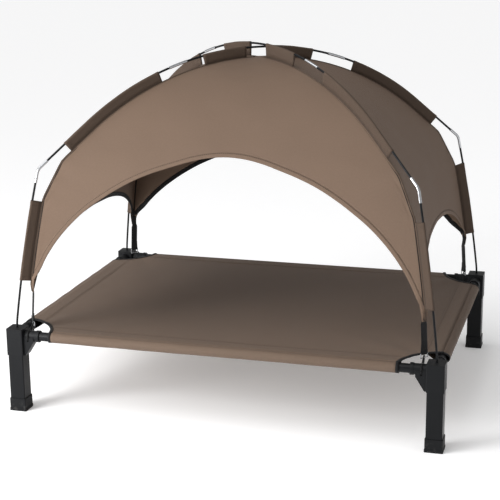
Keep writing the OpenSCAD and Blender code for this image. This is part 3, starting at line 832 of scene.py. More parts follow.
def relief(side, s, along, reach, height):
    """How far the cloth stands out from its stretched shape, in folds from the seams and tips."""
    seed = SIDES.index(side) + 1
    wide = 0.8 if is_wide(side) else 0.59
    from_seam = (1 - abs(s)) * reach * wide
    hand = 1 if s > 0 else -1
    near = math.exp(-from_seam / 0.09) * (1 - math.exp(-from_seam / 0.008))
    elbow = bell(height, 0.66, 0.09)
    tip = bell(height, 0.40, 0.12)
    phase = 2 * math.pi * (height + 0.35 * from_seam) / 0.052 + hand * seed
    folds = 0.0016 * elbow * near * math.sin(phase)
    folds += 0.0011 * tip * near * math.sin(2 * math.pi * from_seam / 0.021 + 9 * height)
    broad = 0.0022 * ripple((s * reach, height, along), 0.16, seed) * (1 - s * s)
    fine = 0.0005 * ripple((s * reach, height, along), 0.045, seed + 5) * (1 - s * s)
    return folds + broad + fine


def canopy_point(side, s, along):
    """A point of the cloth: s from -1 to 1 between a side's seams, along the seam from the top."""
    lateral, outward = spans_of(side)
    slack = CLOTH_SLACK * (1 - s * s) * min(1, along / 0.1)
    poses = [seam_at(along + slack * k) for k in (-1, -0.5, 0, 0.5, 1)]
    if along + slack > SEAM_LENGTH:
        poses = [seam_at(along)]
    reach, height, heading = (sum(pose[k] for pose in poses) / len(poses) for k in range(3))
    inward = SIDE_SAG[side] * (1 - s * s) * (reach / ELBOW_REACH) ** 2
    lift = relief(side, s, along, reach, height)
    hand = 1 if s > 0 else -1
    along_pole = Vector((hand * lateral, -outward))
    seam = reach * along_pole
    stretched = Vector((s * reach * lateral, -reach * outward + inward - lift * math.sin(heading)))
    off_seam = stretched - seam
    low = min(1, max(0, (TIP_FLAT_FROM - height) / TIP_FLAT_OVER))
    off_seam -= off_seam.dot(along_pole) * along_pole * TIP_FLATNESS * low * low * (3 - 2 * low)
    place = seam + off_seam
    turn = Matrix.Rotation(SIDE_TURN[side], 3, "Z")
    return turn @ Vector((place.x, place.y, height + lift * math.cos(heading)))


def across_cloth(side, s, along, e):
    """From one point of the cloth to another, e either way across it."""
    return canopy_point(side, min(1, s + e), along) - canopy_point(side, max(-1, s - e), along)


def canopy_normal(side, s, along):
    """The outward direction of the cloth there."""
    step = 0.003
    across = across_cloth(side, s, along, 0.004)
    down = canopy_point(side, s, along + step) - canopy_point(side, s, max(0, along - step))
    return down.cross(across).normalized()


def hem_places(side):
    """(s, along) at points of a side's hem, from one tip to the other."""
    shares = [HEM_REACH * by_sine(j, HEM_POINTS - 1) for j in range(HEM_POINTS)]
    return [(s, seam_to(hem_height(side, s))) for s in shares]


def inside_hem(side, place, inside, distance):
    """The place on the cloth at a distance in from its hem; inside is the direction there."""
    s, along = place
    e = 0.002
    by_s = across_cloth(side, s, along, e) / (2 * e)
    by_along = (canopy_point(side, s, along + e) - canopy_point(side, s, along - e)) / (2 * e)
    goal = inside * distance
    ss, sa, aa = by_s.dot(by_s), by_s.dot(by_along), by_along.dot(by_along)
    gs, ga = by_s.dot(goal), by_along.dot(goal)
    size = ss * aa - sa * sa
    return min(1, max(-1, s + (gs * aa - ga * sa) / size)), along + (ga * ss - gs * sa) / size


def hem_strip(side, distances):
    """Rows of (point, outward) across a hem, at distances in from its edge."""
    places = hem_places(side)
    line = [canopy_point(side, *place) for place in places]
    up = [canopy_normal(side, *place) for place in places]
    rows = []
    for place, (_, _, across, _) in zip(places, frames_along(line, up)):
        row = []
        for distance in distances:
            at = inside_hem(side, place, -across, distance)
            row.append((canopy_point(side, *at), canopy_normal(side, *at)))
        rows.append(row)
    return rows


SEAM_STEPS = 59


def seam_line(corner, start, end, out):
    """Points a little out from a stretch of a corner's seam, and the outward directions there."""
    line, outward = [], []
    for i in range(SEAM_STEPS + 1):
        reach, height, heading = seam_at(start + (end - start) * i / SEAM_STEPS)
        up = Vector((math.sin(heading), math.cos(heading)))
        line.append(on_diagonal(corner, reach + out * up.x, height + out * up.y))
        outward.append(on_diagonal(corner, *up))
    return line, outward


# ---------------------------------------------------------------- operators


class DOGBED_OT_frame_parts(bpy.types.Operator):
    """Finishes the black legs, caps, corner blocks and rails"""

    bl_idname = "dogbed.frame_parts"
    bl_label = "Frame parts"

    def execute(self, context):
        for corner in CORNERS:
            refinish("corner_block_" + corner, block_plastic(), 0.0009)
            refinish("foot_cap_" + corner, cap_plastic(), 0.0007)
            refinish("leg_" + corner, powder_coat(), 0.0004)
        for side in SIDES:
            refinish("rail_" + side, powder_coat())
        return {"FINISHED"}


class DOGBED_OT_poles(bpy.types.Operator):
    """Finishes the rods, the ferrules, the rings and the shock cords"""

    bl_idname = "dogbed.poles"
    bl_label = "Poles"

    def execute(self, context):
        for corner in CORNERS:
            refinish("lower_rod_" + corner, rod_glass_fibre())
            refinish("upper_rod_" + corner, rod_glass_fibre())
            refinish("elbow_ferrule_" + corner, plated_steel("bright_plated_steel", 0.16), 0.0003)
            refinish("strap_ring_" + corner, plated_steel("plated_wire", 0.26))
        refinish("straight_ferrules", plated_steel("bright_plated_steel", 0.16), 0.0003)
        for name in ("under", "over"):
            refinish("top_rod_" + name, rod_glass_fibre())
            refinish("shock_cord_" + name, cord_rubber())
        return {"FINISHED"}


class DOGBED_OT_canopy_sheet(bpy.types.Operator):
    """Makes the canopy as one continuous sheet of cloth with four arched openings"""

    bl_idname = "dogbed.canopy_sheet"
    bl_label = "Canopy sheet"

    columns = 60
    rows = 52
    closeness = 0.94

    def execute(self, context):
        points = [Vector((0, 0, SEAM_TOP[1]))]
        uvs = [(0.0, 0.0)]
        ring = [(side, by_sine(j, self.columns)) for side in SIDES for j in range(self.columns)]
        hems = [seam_to(hem_height(side, s)) for side, s in ring]
        count = len(ring)
        for i in range(1, self.rows + 1):
            t = (i / self.rows) ** self.closeness
            for (side, s), hem in zip(ring, hems):
                point = canopy_point(side, s, hem * t)
                points.append(point)
                turned = Matrix.Rotation(-SIDE_TURN[side], 3, "Z") @ point
                uvs.append((turned.x, hem * t + 0.1 * SIDES.index(side)))
        faces = [(0, 1 + j, 1 + (j + 1) % count) for j in range(count)]
        for i in range(self.rows - 1):
            for j in range(count):
                a, b = 1 + i * count + j, 1 + i * count + (j + 1) % count
                faces.append((a, a + count, b + count, b))
        canopy = mesh_piece("canopy_sheet", points, faces, uvs, canopy_cloth(), "canopy_cloth")
        solidify(canopy, sizes().sheet_thickness)
        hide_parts(*["panel_" + side for side in SIDES])
        return {"FINISHED"}


class DOGBED_OT_canopy_hems(bpy.types.Operator):
    """Makes the folded hems of the four openings, with black tape on their inner face as painted shade, and
    their stitching
    """

    bl_idname = "dogbed.canopy_hems"
    bl_label = "Canopy hems"

    def execute(self, context):
        width = sizes().hem_width
        fold, core_depth, stitch_rise = 1.1 * MM, 0.2 * MM, 1.25 * MM
        distances = (-0.7 * MM, 0, width * 0.25, width * 0.5, width * 0.75, width)
        rises = (0.3 * fold, fold, fold * 1.08, fold * 1.08, fold, 0.55 * fold)
        threads = Build()
        for side in SIDES:
            folded, painted_shade_band = Build(), Build()
            outside, inside = [], []
            for strip in hem_strip(side, distances):
                top = [point + normal * rise for (point, normal), rise in zip(strip, rises)]
                core = [point - normal * core_depth for point, normal in strip]
                under = [point - normal * 1.2 * rise for (point, normal), rise in zip(strip, rises)]
                outside.append(top + core[::-1])
                # The inner half of each hem is black tape: painted shade for the hems' shaded inner face.
                inside.append(core + under[::-1])
            folded.loft(outside, across=2.5 * MM, along=10 * MM)
            painted_shade_band.loft(inside, across=2.5 * MM, along=10 * MM)
            folded.piece("canopy_hem_" + side, finish=canopy_cloth(), slot="canopy_cloth")
            painted_shade_band.piece("canopy_hem_painted_shade_" + side, finish=binding_tape(), slot="binding")
            sewn = [strip[0] for strip in hem_strip(side, (width * 0.8,))][2:-2]
            for face in (1, -1):
                line = [point + normal * face * stitch_rise for point, normal in sewn]
                stitch_row(threads, line, [normal * face for _, normal in sewn], 0.6 * MM)
        threads.piece("canopy_hem_stitches", finish=thread(), slot="canopy_cloth")
        return {"FINISHED"}


class DOGBED_OT_canopy_seams(bpy.types.Operator):
    """Makes the four felled seams, from the top down to the tips, and the tapes inside them"""

    bl_idname = "dogbed.canopy_seams"
    bl_label = "Canopy seams"

    def execute(self, context):
        welts, tapes, threads = Build(), Build(), Build()
        for corner in CORNERS:
            line, out = seam_line(corner, 0.012, TIP_ALONG - 0.004, 0.5 * MM)
            tube(welts, line, 1.7 * MM, 8, out)
            line, out = seam_line(corner, SEAM_LENGTH * 0.55, TIP_ALONG - 0.03, -2.6 * MM)
            ribbon(tapes, line, out, [7 * MM] * len(line), 1.6 * MM)
        for side in SIDES:
            lateral = spans_of(side)[0]
            for hand in (-1, 1):
                line, up = [], []
                for i in range(SEAM_STEPS + 1):
                    along = 0.03 + (TIP_ALONG - 0.05) * i / SEAM_STEPS
                    s = hand * (1 - 5 * MM / (seam_at(along)[0] * lateral))
                    up.append(canopy_normal(side, s, along))
                    line.append(canopy_point(side, s, along) + up[-1] * 0.6 * MM)
                stitch_row(threads, line, up)
        # The welts take the sleeves' cloth, darkened as painted shade.
        welts.piece("canopy_seam_welts", finish=shade_painted_sleeve_fabric(), slot="canopy_cloth")
        tapes.piece("canopy_seam_tapes", finish=binding_tape(), slot="binding")
        threads.piece("canopy_seam_stitches", finish=thread(), slot="canopy_cloth")
        return {"FINISHED"}


SLEEVE_STEP = 6 * MM
SLEEVE_GAP = 1.2 * MM
SLEEVE_ARC = 12


def sleeve_rows(corner, start, end, seed):
    """Cross-sections of a rod sleeve: a band of doubled cloth folded round the rod."""
    apex = apex_of(corner)
    path = pole_path(apex)
    count = max(8, int((end - start) / SLEEVE_STEP))
    rows, seam_side = [], []
    for i in range(count + 1):
        share = i / count
        reach, height, heading = walk(path, start + (end - start) * share, (0, apex, 0))
        here = Vector((reach, height))
        out = Vector((math.sin(heading), math.cos(heading)))
        web = min((here - sample).length for sample in SEAM_SAMPLES)
        edge = min(share, 1 - share) * (end - start)
        hem = 0.4 * MM if edge < 11 * MM else 0.0
        pucker = 0.5 * MM * ripple((share * 4, 0, 0), 0.35, seed)
        sway = 1.1 * MM * ripple((share * (end - start), 0, 1), 0.05, seed + 3)
        sway *= math.sin(math.pi * share)
        tube_radius = ROD_RADIUS + SLEEVE_GAP + hem + pucker * 0.5
        half = 0.9 * MM + hem
        section = [(-web + 0.5 * MM, -half), (-web * 0.55, -half * 1.9 + sway * 0.6)]
        for k in range(SLEEVE_ARC + 1):
            a = math.radians(-104 + 208 * k / SLEEVE_ARC)
            flare = 1 + 0.04 * math.sin(3 * a + seed + 9 * share)
            section.append((tube_radius * math.cos(a) * flare, tube_radius * math.sin(a) * flare))
        section += [(-web * 0.55, half * 1.9 + sway * 0.6), (-web + 0.5 * MM, half)]
        rows.append([on_diagonal(corner, *(here + out * u), aside=v) for u, v in section])
        seam_side.append((here - out * (web - 4 * MM), half * 1.35))
    return rows, seam_side


def sleeve(corner, start, end, name, node_name, threads, seed):
    """One sleeve in place of a CAD node, with its stitches added to the threads."""
    rows, seam_side = sleeve_rows(corner, start, end, seed)
    build = Build()
    build.loft(rows, across=3.2 * MM, along=SLEEVE_STEP)
    # The sleeve's cloth is the canopy's cloth darkened as painted shade.
    made = build.piece(name, finish=shade_painted_sleeve_fabric(), slot="canopy_cloth")
    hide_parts(node_name)
    for face in (-1, 1):
        out = on_diagonal(corner, 0, 0, face)
        stitch_row(threads, [on_diagonal(corner, *p, aside=face * h) for p, h in seam_side], out)
        for row in (2, -3):
            ends = [rows[row][k] for k in ((1, 3) if face < 0 else (-2, -4))]
            stitch_row(threads, ends, out)


class DOGBED_OT_sleeves(bpy.types.Operator):
    """Makes the cloth sleeves that hold the canopy on its rods"""

    bl_idname = "dogbed.sleeves"
    bl_label = "Pole sleeves"

    def execute(self, context):
        threads = Build()
        for number, corner in enumerate(CORNERS):
            path = pole_path(apex_of(corner))
            roof = roof_radius(apex_of(corner))
            leg = run_length(path, 4)
            spans = {
                "lower": (leg + LEG_ARC * SEAM_LEG_FROM, leg + LEG_ARC * SEAM_LEG_TO),
                "upper": (roof * math.radians(22.2), run_length(path, 1) + 84 * MM),
                "top": (roof * math.radians(2.8), roof * math.radians(12.2)),
            }
            for kind, (start, end) in spans.items():
                replaced = "top_sleeves" if kind == "top" else f"{kind}_sleeve_{corner}"
                name = f"{kind}_rod_sleeve_{corner}"
                sleeve(corner, start, end, name, replaced, threads, number + 1)
        threads.piece("sleeve_stitches", finish=thread(), slot="canopy_cloth")
        return {"FINISHED"}


class DOGBED_OT_sling(bpy.types.Operator):
    """Makes the sling's cloth, its rail pockets and their stitching"""

    bl_idname = "dogbed.sling"
    bl_label = "Sling"

    def execute(self, context):
        sling_sheet()
        sling_pockets()
        return {"FINISHED"}


CORNER = Vector((CAP_HIGH.x, CAP_HIGH.y))
CUT_RADIUS = 0.125
POCKET_RADIUS = RAIL_RADIUS + 1.6 * MM
SLING_THICKNESS = 1.4 * MM
POCKET_ARC = 14
POCKET_FLAT = 6


def rail_offset(side):
    """From the bed's middle to a side's rail."""
    return LEG.y if is_wide(side) else LEG.x


def on_side(side, at, place):
    """(x, y) at a length along a side and a distance out from the bed's middle."""
    place = place if side in ("right", "back") else -place
    return (at, place) if is_wide(side) else (place, at)


def cut_edge(side, across):
    """Half the sling's size along a side's rail, at a distance from the middle across it."""
    limit, corner_across, corner_along = LEG.y, CORNER.x, CORNER.y
    if is_wide(side):
        limit, corner_across, corner_along = LEG.x, CORNER.y, CORNER.x
    gap = corner_across - abs(across)
    if gap >= CUT_RADIUS:
        return limit
    return min(limit, corner_along - math.sqrt(max(CUT_RADIUS**2 - gap**2, 0)))


def sling_height(x, y):
    """The sling sags a little, and pulls up in short folds towards its corners."""
    u, v = x / LEG.x, y / LEG.y
    flat = RAIL_HEIGHT + POCKET_RADIUS + 0.8 * MM
    sag = sizes().sling_sag * (1 - u * u) * (1 - v * v)
    corner = Vector((abs(x) - CORNER.x, abs(y) - CORNER.y))
    away = corner.length - CUT_RADIUS
    angle = math.atan2(-corner.y, -corner.x)
    fan = math.sin(angle * 13 + 2 * u + 3 * v)
    fan *= math.exp(-max(away, 0) / 0.11) * min(1, away / 0.03)
    inside = min(1, (1 - abs(u)) * 6) * min(1, (1 - abs(v)) * 5)
    seam = bell(LEG.x - abs(x), sizes().pocket_seam_in, 0.004)
    seam += bell(LEG.y - abs(y), sizes().pocket_seam_in, 0.004)
    broad = ripple((x, y, 0), 0.22, 4) * 0.0016 + ripple((x, y, 0), 0.07, 9) * 0.0004
    return flat - sag + (0.0022 * fan + broad) * inside - 0.0007 * min(seam, 1)


def sling_sheet():
    """The sling's cloth, from rail to rail, with a round cut at each corner."""
    points, faces, uvs = [], [], []
    straight = CORNER.y - math.sqrt(CUT_RADIUS**2 - (CORNER.x - LEG.x) ** 2)
    depths = [straight * math.sin(math.pi / 2 * k / 26) for k in range(27)]
    cut_from = math.asin((CORNER.x - LEG.x) / CUT_RADIUS)
    cut_to = math.acos((CORNER.y - LEG.y) / CUT_RADIUS)
    for k in range(1, 19):
        a = cut_from + (cut_to - cut_from) * k / 18
        depths.append(CORNER.y - CUT_RADIUS * math.cos(a))
    depths = [-d for d in reversed(depths[1:])] + depths
    columns = 72
    for y in depths:
        half = cut_edge("front", y)
        for k in range(columns + 1):
            x = half * (by_sine(k, columns) + 2 * k / columns - 1) * 0.5
            points.append(Vector((x, y, sling_height(x, y))))
            uvs.append((x, y))
    for i in range(len(depths) - 1):
        for k in range(columns):
            a = i * (columns + 1) + k
            faces.append((a, a + 1, a + columns + 2, a + columns + 1))
    sling = mesh_piece("sling_sheet", points, faces, uvs, sling_cloth(), "sling_cloth", body="bed")
    solidify(sling, SLING_THICKNESS)
    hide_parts("sling")


def pocket_section(seam_in, fullness):
    """(outward, height) round a rail, from its crown over and back under to the pocket's seam."""
    section = []
    for k in range(POCKET_ARC + 1):
        a = math.radians(90 - 215 * k / POCKET_ARC)
        full = fullness * max(0, math.cos(a)) ** 1.5
        section.append((POCKET_RADIUS * math.cos(a) + full, POCKET_RADIUS * math.sin(a)))
    last = section[-1]
    goal = (-seam_in, POCKET_RADIUS - 0.8 * MM)
    for k in range(1, POCKET_FLAT + 1):
        share = k / POCKET_FLAT
        bow = 1.2 * MM * math.sin(math.pi * share)
        out, height = (a + (b - a) * share for a, b in zip(last, goal))
        section.append((out, height - bow))
    return section


POCKET_STEP = 14 * MM
SEAM_ROW_STEPS = 89


def pocket_rows(side, section, half):
    """A pocket's section along its rail, slightly loose below the crown."""
    count = int(2 * half / POCKET_STEP)
    rows = []
    for i in range(count + 1):
        at = half * (2 * i / count - 1)
        row = []
        for k, (out, height) in enumerate(section):
            loose = 0
            if k > 1:
                loose = 0.0009 * ripple((at, k * 0.011, 0), 0.06, SIDES.index(side) + 2)
            x, y = on_side(side, at, rail_offset(side) + out + loose)
            row.append(Vector((x, y, RAIL_HEIGHT + height + loose)))
        rows.append(row)
    return rows


def sling_pockets():
    """The four rail pockets, the tape round their ends and their double rows of stitches."""
    threads, tapes = Build(), Build()
    seam_in = sizes().pocket_seam_in
    for side in SIDES:
        half = cut_edge(side, rail_offset(side))
        section = pocket_section(seam_in, 1 * MM if is_wide(side) else 6 * MM)
        build = Build()
        rows = pocket_rows(side, section, half)
        build.loft(rows, closed=False, caps=False, across=5 * MM, along=POCKET_STEP)
        pocket = build.piece("sling_pocket_" + side, body="bed", finish=sling_cloth(), slot="sling_cloth")
        solidify(pocket, SLING_THICKNESS)
        bound_ends(tapes, side, section, half)
        for inset in (0, 6 * MM):
            place = rail_offset(side) - seam_in + inset
            limit = cut_edge(side, place) - 12 * MM
            line = []
            for i in range(SEAM_ROW_STEPS + 1):
                x, y = on_side(side, limit * (2 * i / SEAM_ROW_STEPS - 1), place)
                line.append(Vector((x, y, sling_height(x, y) + 0.75 * MM)))
            stitch_row(threads, line, UP, 0.5 * MM)
    tapes.piece("pocket_end_tapes", body="bed", finish=binding_tape(), slot="binding")
    threads.piece("sling_stitches", body="bed", finish=dark_thread(), slot="sling_cloth")


END_TAPE = ((0.8 * MM, 0.2), (0.8 * MM, 1), (-7 * MM, 1), (-7 * MM, -1), (0.8 * MM, -1))
END_TAPE_RISE = 1.3 * MM


def bound_ends(tapes, side, section, half):
    """Black tape round both open ends of a pocket."""
    for hand in (-1, 1):
        rows = []
        for out, height in section:
            grow = Vector((out, height)).normalized() * END_TAPE_RISE
            row = []
            for at, swell in END_TAPE:
                x, y = on_side(side, hand * (half + at), rail_offset(side) + out + grow.x * swell)
                row.append(Vector((x, y, RAIL_HEIGHT + height + grow.y * swell)))
            rows.append(row)
        tapes.loft(rows, across=3 * MM, along=5 * MM)


class DOGBED_OT_binding(bpy.types.Operator):
    """Makes the black tape sewn round the sling's corner cuts"""

    bl_idname = "dogbed.binding"
    bl_label = "Corner binding"

    steps = 40

    def execute(self, context):
        width = sizes().binding_width
        section = (
            (-2.2 * MM, 0), (-1.6 * MM, 1.5 * MM), (0.4 * width, 2.0 * MM), (width, 1.4 * MM),
            (width, -1.2 * MM), (0.4 * width, -1.7 * MM), (-1.6 * MM, -1.4 * MM),
        )
        start = math.asin((CORNER.x - LEG.x - 4 * MM) / CUT_RADIUS)
        end = math.acos((CORNER.y - LEG.y - 4 * MM) / CUT_RADIUS)
        threads = Build()
        for corner in CORNERS:
            sx, sy = corner_signs(corner)
            rows, inner = [], []
            for i in range(self.steps + 1):
                a = start + (end - start) * i / self.steps
                out = Vector((math.sin(a), math.cos(a)))
                row = []
                for u, v in section:
                    flat = CORNER - out * (CUT_RADIUS + u)
                    near = CORNER - out * (CUT_RADIUS + max(u, 0))
                    row.append(Vector((sx * flat.x, sy * flat.y, sling_height(near.x, near.y) + v)))
                rows.append(row)
                middle = CORNER - out * (CUT_RADIUS + width * 0.75)
                height = sling_height(middle.x, middle.y) + 1.8 * MM
                inner.append(Vector((sx * middle.x, sy * middle.y, height)))
            build = Build()
            build.loft(rows, across=3 * MM, along=5 * MM)
            tape = build.piece(
                "corner_binding_" + corner, body="bed", finish=binding_tape(), slot="binding"
            )
            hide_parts("sling_binding")
            stitch_row(threads, inner[1:-1], UP)
        threads.piece("binding_stitches", body="bed", finish=dark_thread(), slot="binding")
        return {"FINISHED"}


class DOGBED_OT_straps(bpy.types.Operator):
    """Makes the webbing straps, sewn to the canopy's tips and looped through their rings"""

    bl_idname = "dogbed.straps"
    bl_label = "Straps"

    width = 22 * MM
    sewn = (-26, -18, -10, -2)
    sewn_share = 0.66
    depth_inside = 3.6 * MM
    stitch_rise = 3.5 * MM

    def execute(self, context):
        thick = sizes().strap_thickness
        threads = Build()
        profile = self.profile(thick)
        widths = [
            self.width * (self.sewn_share if k < len(self.sewn) else 1) for k in range(len(profile))
        ]
        for corner in CORNERS:
            line = [on_diagonal(corner, *point) for point, _ in profile]
            up = [on_diagonal(corner, *face) for _, face in profile]
            build = Build()
            ribbon(build, line, up, widths, thick)
            strap = build.piece("webbing_strap_" + corner, finish=webbing(), slot="webbing")
            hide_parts("strap_" + corner)
            self.sew(corner, threads, profile, thick)
        threads.piece("strap_stitches", finish=thread(), slot="webbing")
        return {"FINISHED"}

    def profile(self, thick):
        """(point, outward) from the sewn top down, round the ring's bar and back up."""
        made = []
        for along in self.sewn:
            reach, height, heading = seam_at(TIP_ALONG + along * MM)
            out = Vector((math.sin(heading), math.cos(heading)))
            made.append((Vector((reach, height)) - out * self.depth_inside, out))
        radius = RING_WIRE / 2 + thick / 2 + 0.15 * MM
        top = made[-1][0]
        bar = Vector((RING_REACH, RING_TOP))
        touch = Vector((bar.x + radius, bar.y))
        fall = (touch - top).normalized()
        face = Vector((-fall.y, fall.x))
        for k in range(1, 9):
            made.append((top.lerp(touch, k / 9), face))
        for k in range(13):
            a = -math.pi * k / 12
            spoke = Vector((math.cos(a), math.sin(a)))
            made.append((bar + spoke * radius, spoke))
        for k in range(1, 6):
            share = k / 5
            inward = radius - radius * 0.62 * min(1, share * 2)
            made.append((Vector((bar.x - inward, bar.y + 0.026 * share)), Vector((-1, 0))))
        return made

    def sew(self, corner, threads, profile, thick):
        """A box of stitches on the canopy's tip, and a bar tack above the ring."""
        first, last = profile[0], profile[len(self.sewn) - 1]
        rise = thick / 2 + self.stitch_rise
        out = on_diagonal(corner, *first[1])
        for share in (0.12, 0.88):
            place = first[0].lerp(last[0], share) + first[1] * rise
            ends = [on_diagonal(corner, *place, aside=a * self.width * 0.27) for a in (-1, 1)]
            stitch_row(threads, ends, out)
        for side in (-0.27, 0.27):
            ends = [
                on_diagonal(corner, *(point + face * rise), aside=side * self.width)
                for point, face in (first, last)
            ]
            stitch_row(threads, ends, out)
        for above in (12 * MM, 14.2 * MM, 16.4 * MM):
            reach = RING_REACH + RING_WIRE / 2 + thick + 0.6 * MM + above * 0.08
            ends = [
                on_diagonal(corner, reach, RING_TOP + above, aside=a * self.width * 0.4)
                for a in (-1, 1)
            ]
            stitch_row(threads, ends, on_diagonal(corner, 1, 0))


class DOGBED_OT_elastic_loops(bpy.types.Operator):
    """Makes the elastic loops that tie each strap's ring to a rail socket"""

    bl_idname = "dogbed.elastic_loops"
    bl_label = "Elastic loops"

    def execute(self, context):
        for corner in CORNERS:
            line, socket, bar = self.belt(corner)
            build = Build()
            tube(build, line, sizes().elastic_width / 2, 10, closed=True)
            self.knot(build, line)
            loop = build.piece("elastic_loop_" + corner, body="bed", finish=braid(), slot="elastic")
            loop.parent = None
            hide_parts("elastic_loops")
            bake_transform(loop)
        return {"FINISHED"}

    socket_steps = 34
    bar_steps = 15
    gap = 0.4 * MM

    def belt(self, corner):
        """A closed line round a rail's socket and the lower bar of a ring."""
        sx, sy = corner_signs(corner)
        radius = sizes().elastic_width / 2
        bar = on_diagonal(corner, RING_REACH, RING_BOTTOM)
        socket = Vector((bar.x, sy * LEG.y, RAIL_HEIGHT))
        reach = (bar - socket).length
        along = (bar - socket).normalized()
        side = Vector((sx, 0, 0)).cross(along)
        big = SOCKET_RADIUS + self.gap + radius
        small = (RING_WIRE / 2 + radius) / math.sin(DIAGONAL) + self.gap
        lean = math.asin((big - small) / reach)
        line = []
        for k in range(self.socket_steps + 1):
            a = math.pi / 2 - lean + (math.pi + 2 * lean) * k / self.socket_steps
            line.append(socket + big * (along * math.cos(a) + side * math.sin(a)))
        for k in range(1, self.bar_steps + 1):
            a = (math.pi - 2 * lean) * ((k - 0.5) / self.bar_steps - 0.5)
            line.append(bar + small * (along * math.cos(a) + side * math.sin(a)))
        return self.spread(line), socket, bar

    def spread(self, line):
        """Fills the long straight stretches with points, so that the loop stretches smoothly."""
        made = []
        for a, b in zip(line, line[1:] + line[:1]):
            parts = max(1, int((b - a).length / (3 * MM)))
            made.extend(a.lerp(b, k / parts) for k in range(parts))
        return made

    def knot(self, build, line):
        """The ends are tied in a small knot under the socket."""
        middle = line[len(line) // 3]
        radius = sizes().elastic_width * 0.62
        for turn, tilt in ((0, 0.4), (1, 1.9)):
            ring = []
            for k in range(14):
                a = 2 * math.pi * k / 14
                spot = Vector((math.cos(a), math.sin(a) * math.cos(tilt), math.sin(a) * math.sin(tilt)))
                ring.append(middle + spot * radius + Vector((0.6 * MM * turn, 0, 0)))
            tube(build, ring, sizes().elastic_width * 0.42, 8, closed=True)


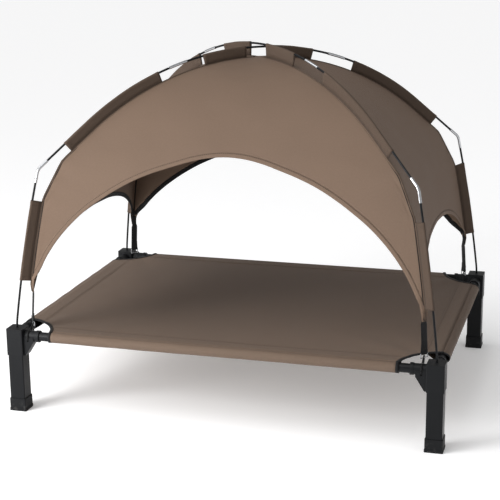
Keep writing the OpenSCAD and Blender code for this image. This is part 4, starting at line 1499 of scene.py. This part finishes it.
class DOGBED_OT_stage(bpy.types.Operator):
    """Makes the pale floor, the soft studio lights and the camera"""

    bl_idname = "dogbed.stage"
    bl_label = "Stage"

    floor_half = 30
    key_place = Vector((-1.9, -2.1, 1.1))
    key_target = Vector((0, 0, 0.4))
    key_size = 1.4
    key_power = 74
    daylight_strength = 1.4
    daylight_angle = math.radians(50)
    daylight_heading = Vector((0.45, 0.36, -0.82))
    world_strength = 0.42
    camera_place = Vector((1.0297, -3.6926, 1.4163))
    camera_yaw, camera_pitch, camera_roll = -0.2798, 0.2619, -0.0099
    camera_lens = 97.41

    def execute(self, context):
        self.floor()
        self.key_light()
        self.daylight()
        self.world()
        self.camera()
        return {"FINISHED"}

    def floor(self):
        corners = ((-1, -1, 0), (1, -1, 0), (1, 1, 0), (-1, 1, 0))
        mesh = bpy.data.meshes.new("floor")
        mesh.from_pydata([Vector(c) * self.floor_half for c in corners], [], [(0, 1, 2, 3)])
        mesh.materials.append(floor_finish())
        add_object("floor", mesh)

    def aimed(self, name, data, heading):
        """A lamp that shines along a heading."""
        lamp = add_object(name, data)
        lamp.rotation_mode = "QUATERNION"
        lamp.rotation_quaternion = heading.to_track_quat("-Z", "Y")
        return lamp

    def key_light(self):
        data = bpy.data.lights.new("key_light", "AREA")
        data.shape = "DISK"
        data.size = self.key_size
        data.energy = self.key_power
        self.aimed("key_light", data, self.key_target - self.key_place).location = self.key_place

    def daylight(self):
        """A broad even light from the front left."""
        data = bpy.data.lights.new("studio_daylight", "SUN")
        data.energy = self.daylight_strength
        data.angle = self.daylight_angle
        self.aimed("studio_daylight", data, self.daylight_heading)

    def world(self):
        """White where the camera sees it, and softer as a light."""
        world = bpy.data.worlds.new("studio")
        world.use_nodes = True
        tree = world.node_tree
        soft = tree.nodes["Background"]
        soft.inputs["Color"].default_value = (1, 1, 1, 1)
        soft.inputs["Strength"].default_value = self.world_strength
        seen = node(tree, "ShaderNodeBackground", (0, -160))
        seen.inputs["Color"].default_value = (1, 1, 1, 1)
        rays = node(tree, "ShaderNodeLightPath", (0, 300))
        mix = node(tree, "ShaderNodeMixShader", (220, 0))
        tree.links.new(rays.outputs["Is Camera Ray"], mix.inputs[0])
        tree.links.new(soft.outputs[0], mix.inputs[1])
        tree.links.new(seen.outputs[0], mix.inputs[2])
        tree.links.new(mix.outputs[0], tree.nodes["World Output"].inputs["Surface"])
        bpy.context.scene.world = world
        bpy.context.scene.view_settings.view_transform = "Standard"

    def camera(self):
        yaw, pitch, roll = self.camera_yaw, self.camera_pitch, self.camera_roll
        forward = Vector(
            (math.sin(yaw) * math.cos(pitch), math.cos(yaw) * math.cos(pitch), -math.sin(pitch))
        )
        right = Vector((math.cos(yaw), -math.sin(yaw), 0))
        up = right.cross(forward)
        turned_right = math.cos(roll) * right + math.sin(roll) * up
        turned_up = math.cos(roll) * up - math.sin(roll) * right
        data = bpy.data.cameras.new("studio_camera")
        data.lens = self.camera_lens
        data.sensor_width = 36
        data.clip_end = 100
        camera = add_object("studio_camera", data)
        turn = Matrix((turned_right, turned_up, -forward)).transposed()
        camera.matrix_world = Matrix.Translation(self.camera_place) @ turn.to_4x4()
        bpy.context.scene.camera = camera


OPERATORS = (
    DOGBED_OT_stage,
    DOGBED_OT_frame_parts,
    DOGBED_OT_poles,
    DOGBED_OT_canopy_sheet,
    DOGBED_OT_canopy_hems,
    DOGBED_OT_canopy_seams,
    DOGBED_OT_sleeves,
    DOGBED_OT_sling,
    DOGBED_OT_binding,
    DOGBED_OT_straps,
    DOGBED_OT_elastic_loops,
)


class DOGBED_PT_panel(bpy.types.Panel):
    """Lists the bed's settings and its building steps"""

    bl_idname = "DOGBED_PT_panel"
    bl_label = "Dog bed"
    bl_space_type = "VIEW_3D"
    bl_region_type = "UI"
    bl_category = "Dog bed"

    def draw(self, context):
        for settings in (context.scene.dog_bed_sizes, context.scene.dog_bed_colours):
            for name in settings.bl_rna.properties.keys():
                if name not in ("rna_type", "name"):
                    self.layout.prop(settings, name)
        for step in OPERATORS:
            self.layout.operator(step.bl_idname)


CLASSES = (BedSizes, BedColours, *OPERATORS, DOGBED_PT_panel)


def register():
    for kind in CLASSES:
        bpy.utils.register_class(kind)
    bpy.types.Scene.dog_bed_sizes = PointerProperty(type=BedSizes)
    bpy.types.Scene.dog_bed_colours = PointerProperty(type=BedColours)


def unregister():
    del bpy.types.Scene.dog_bed_colours
    del bpy.types.Scene.dog_bed_sizes
    for kind in reversed(CLASSES):
        bpy.utils.unregister_class(kind)


def main():
    register()
    for step in OPERATORS:
        space, name = step.bl_idname.split(".")
        getattr(getattr(bpy.ops, space), name)()


if __name__ == "__main__":
    main()
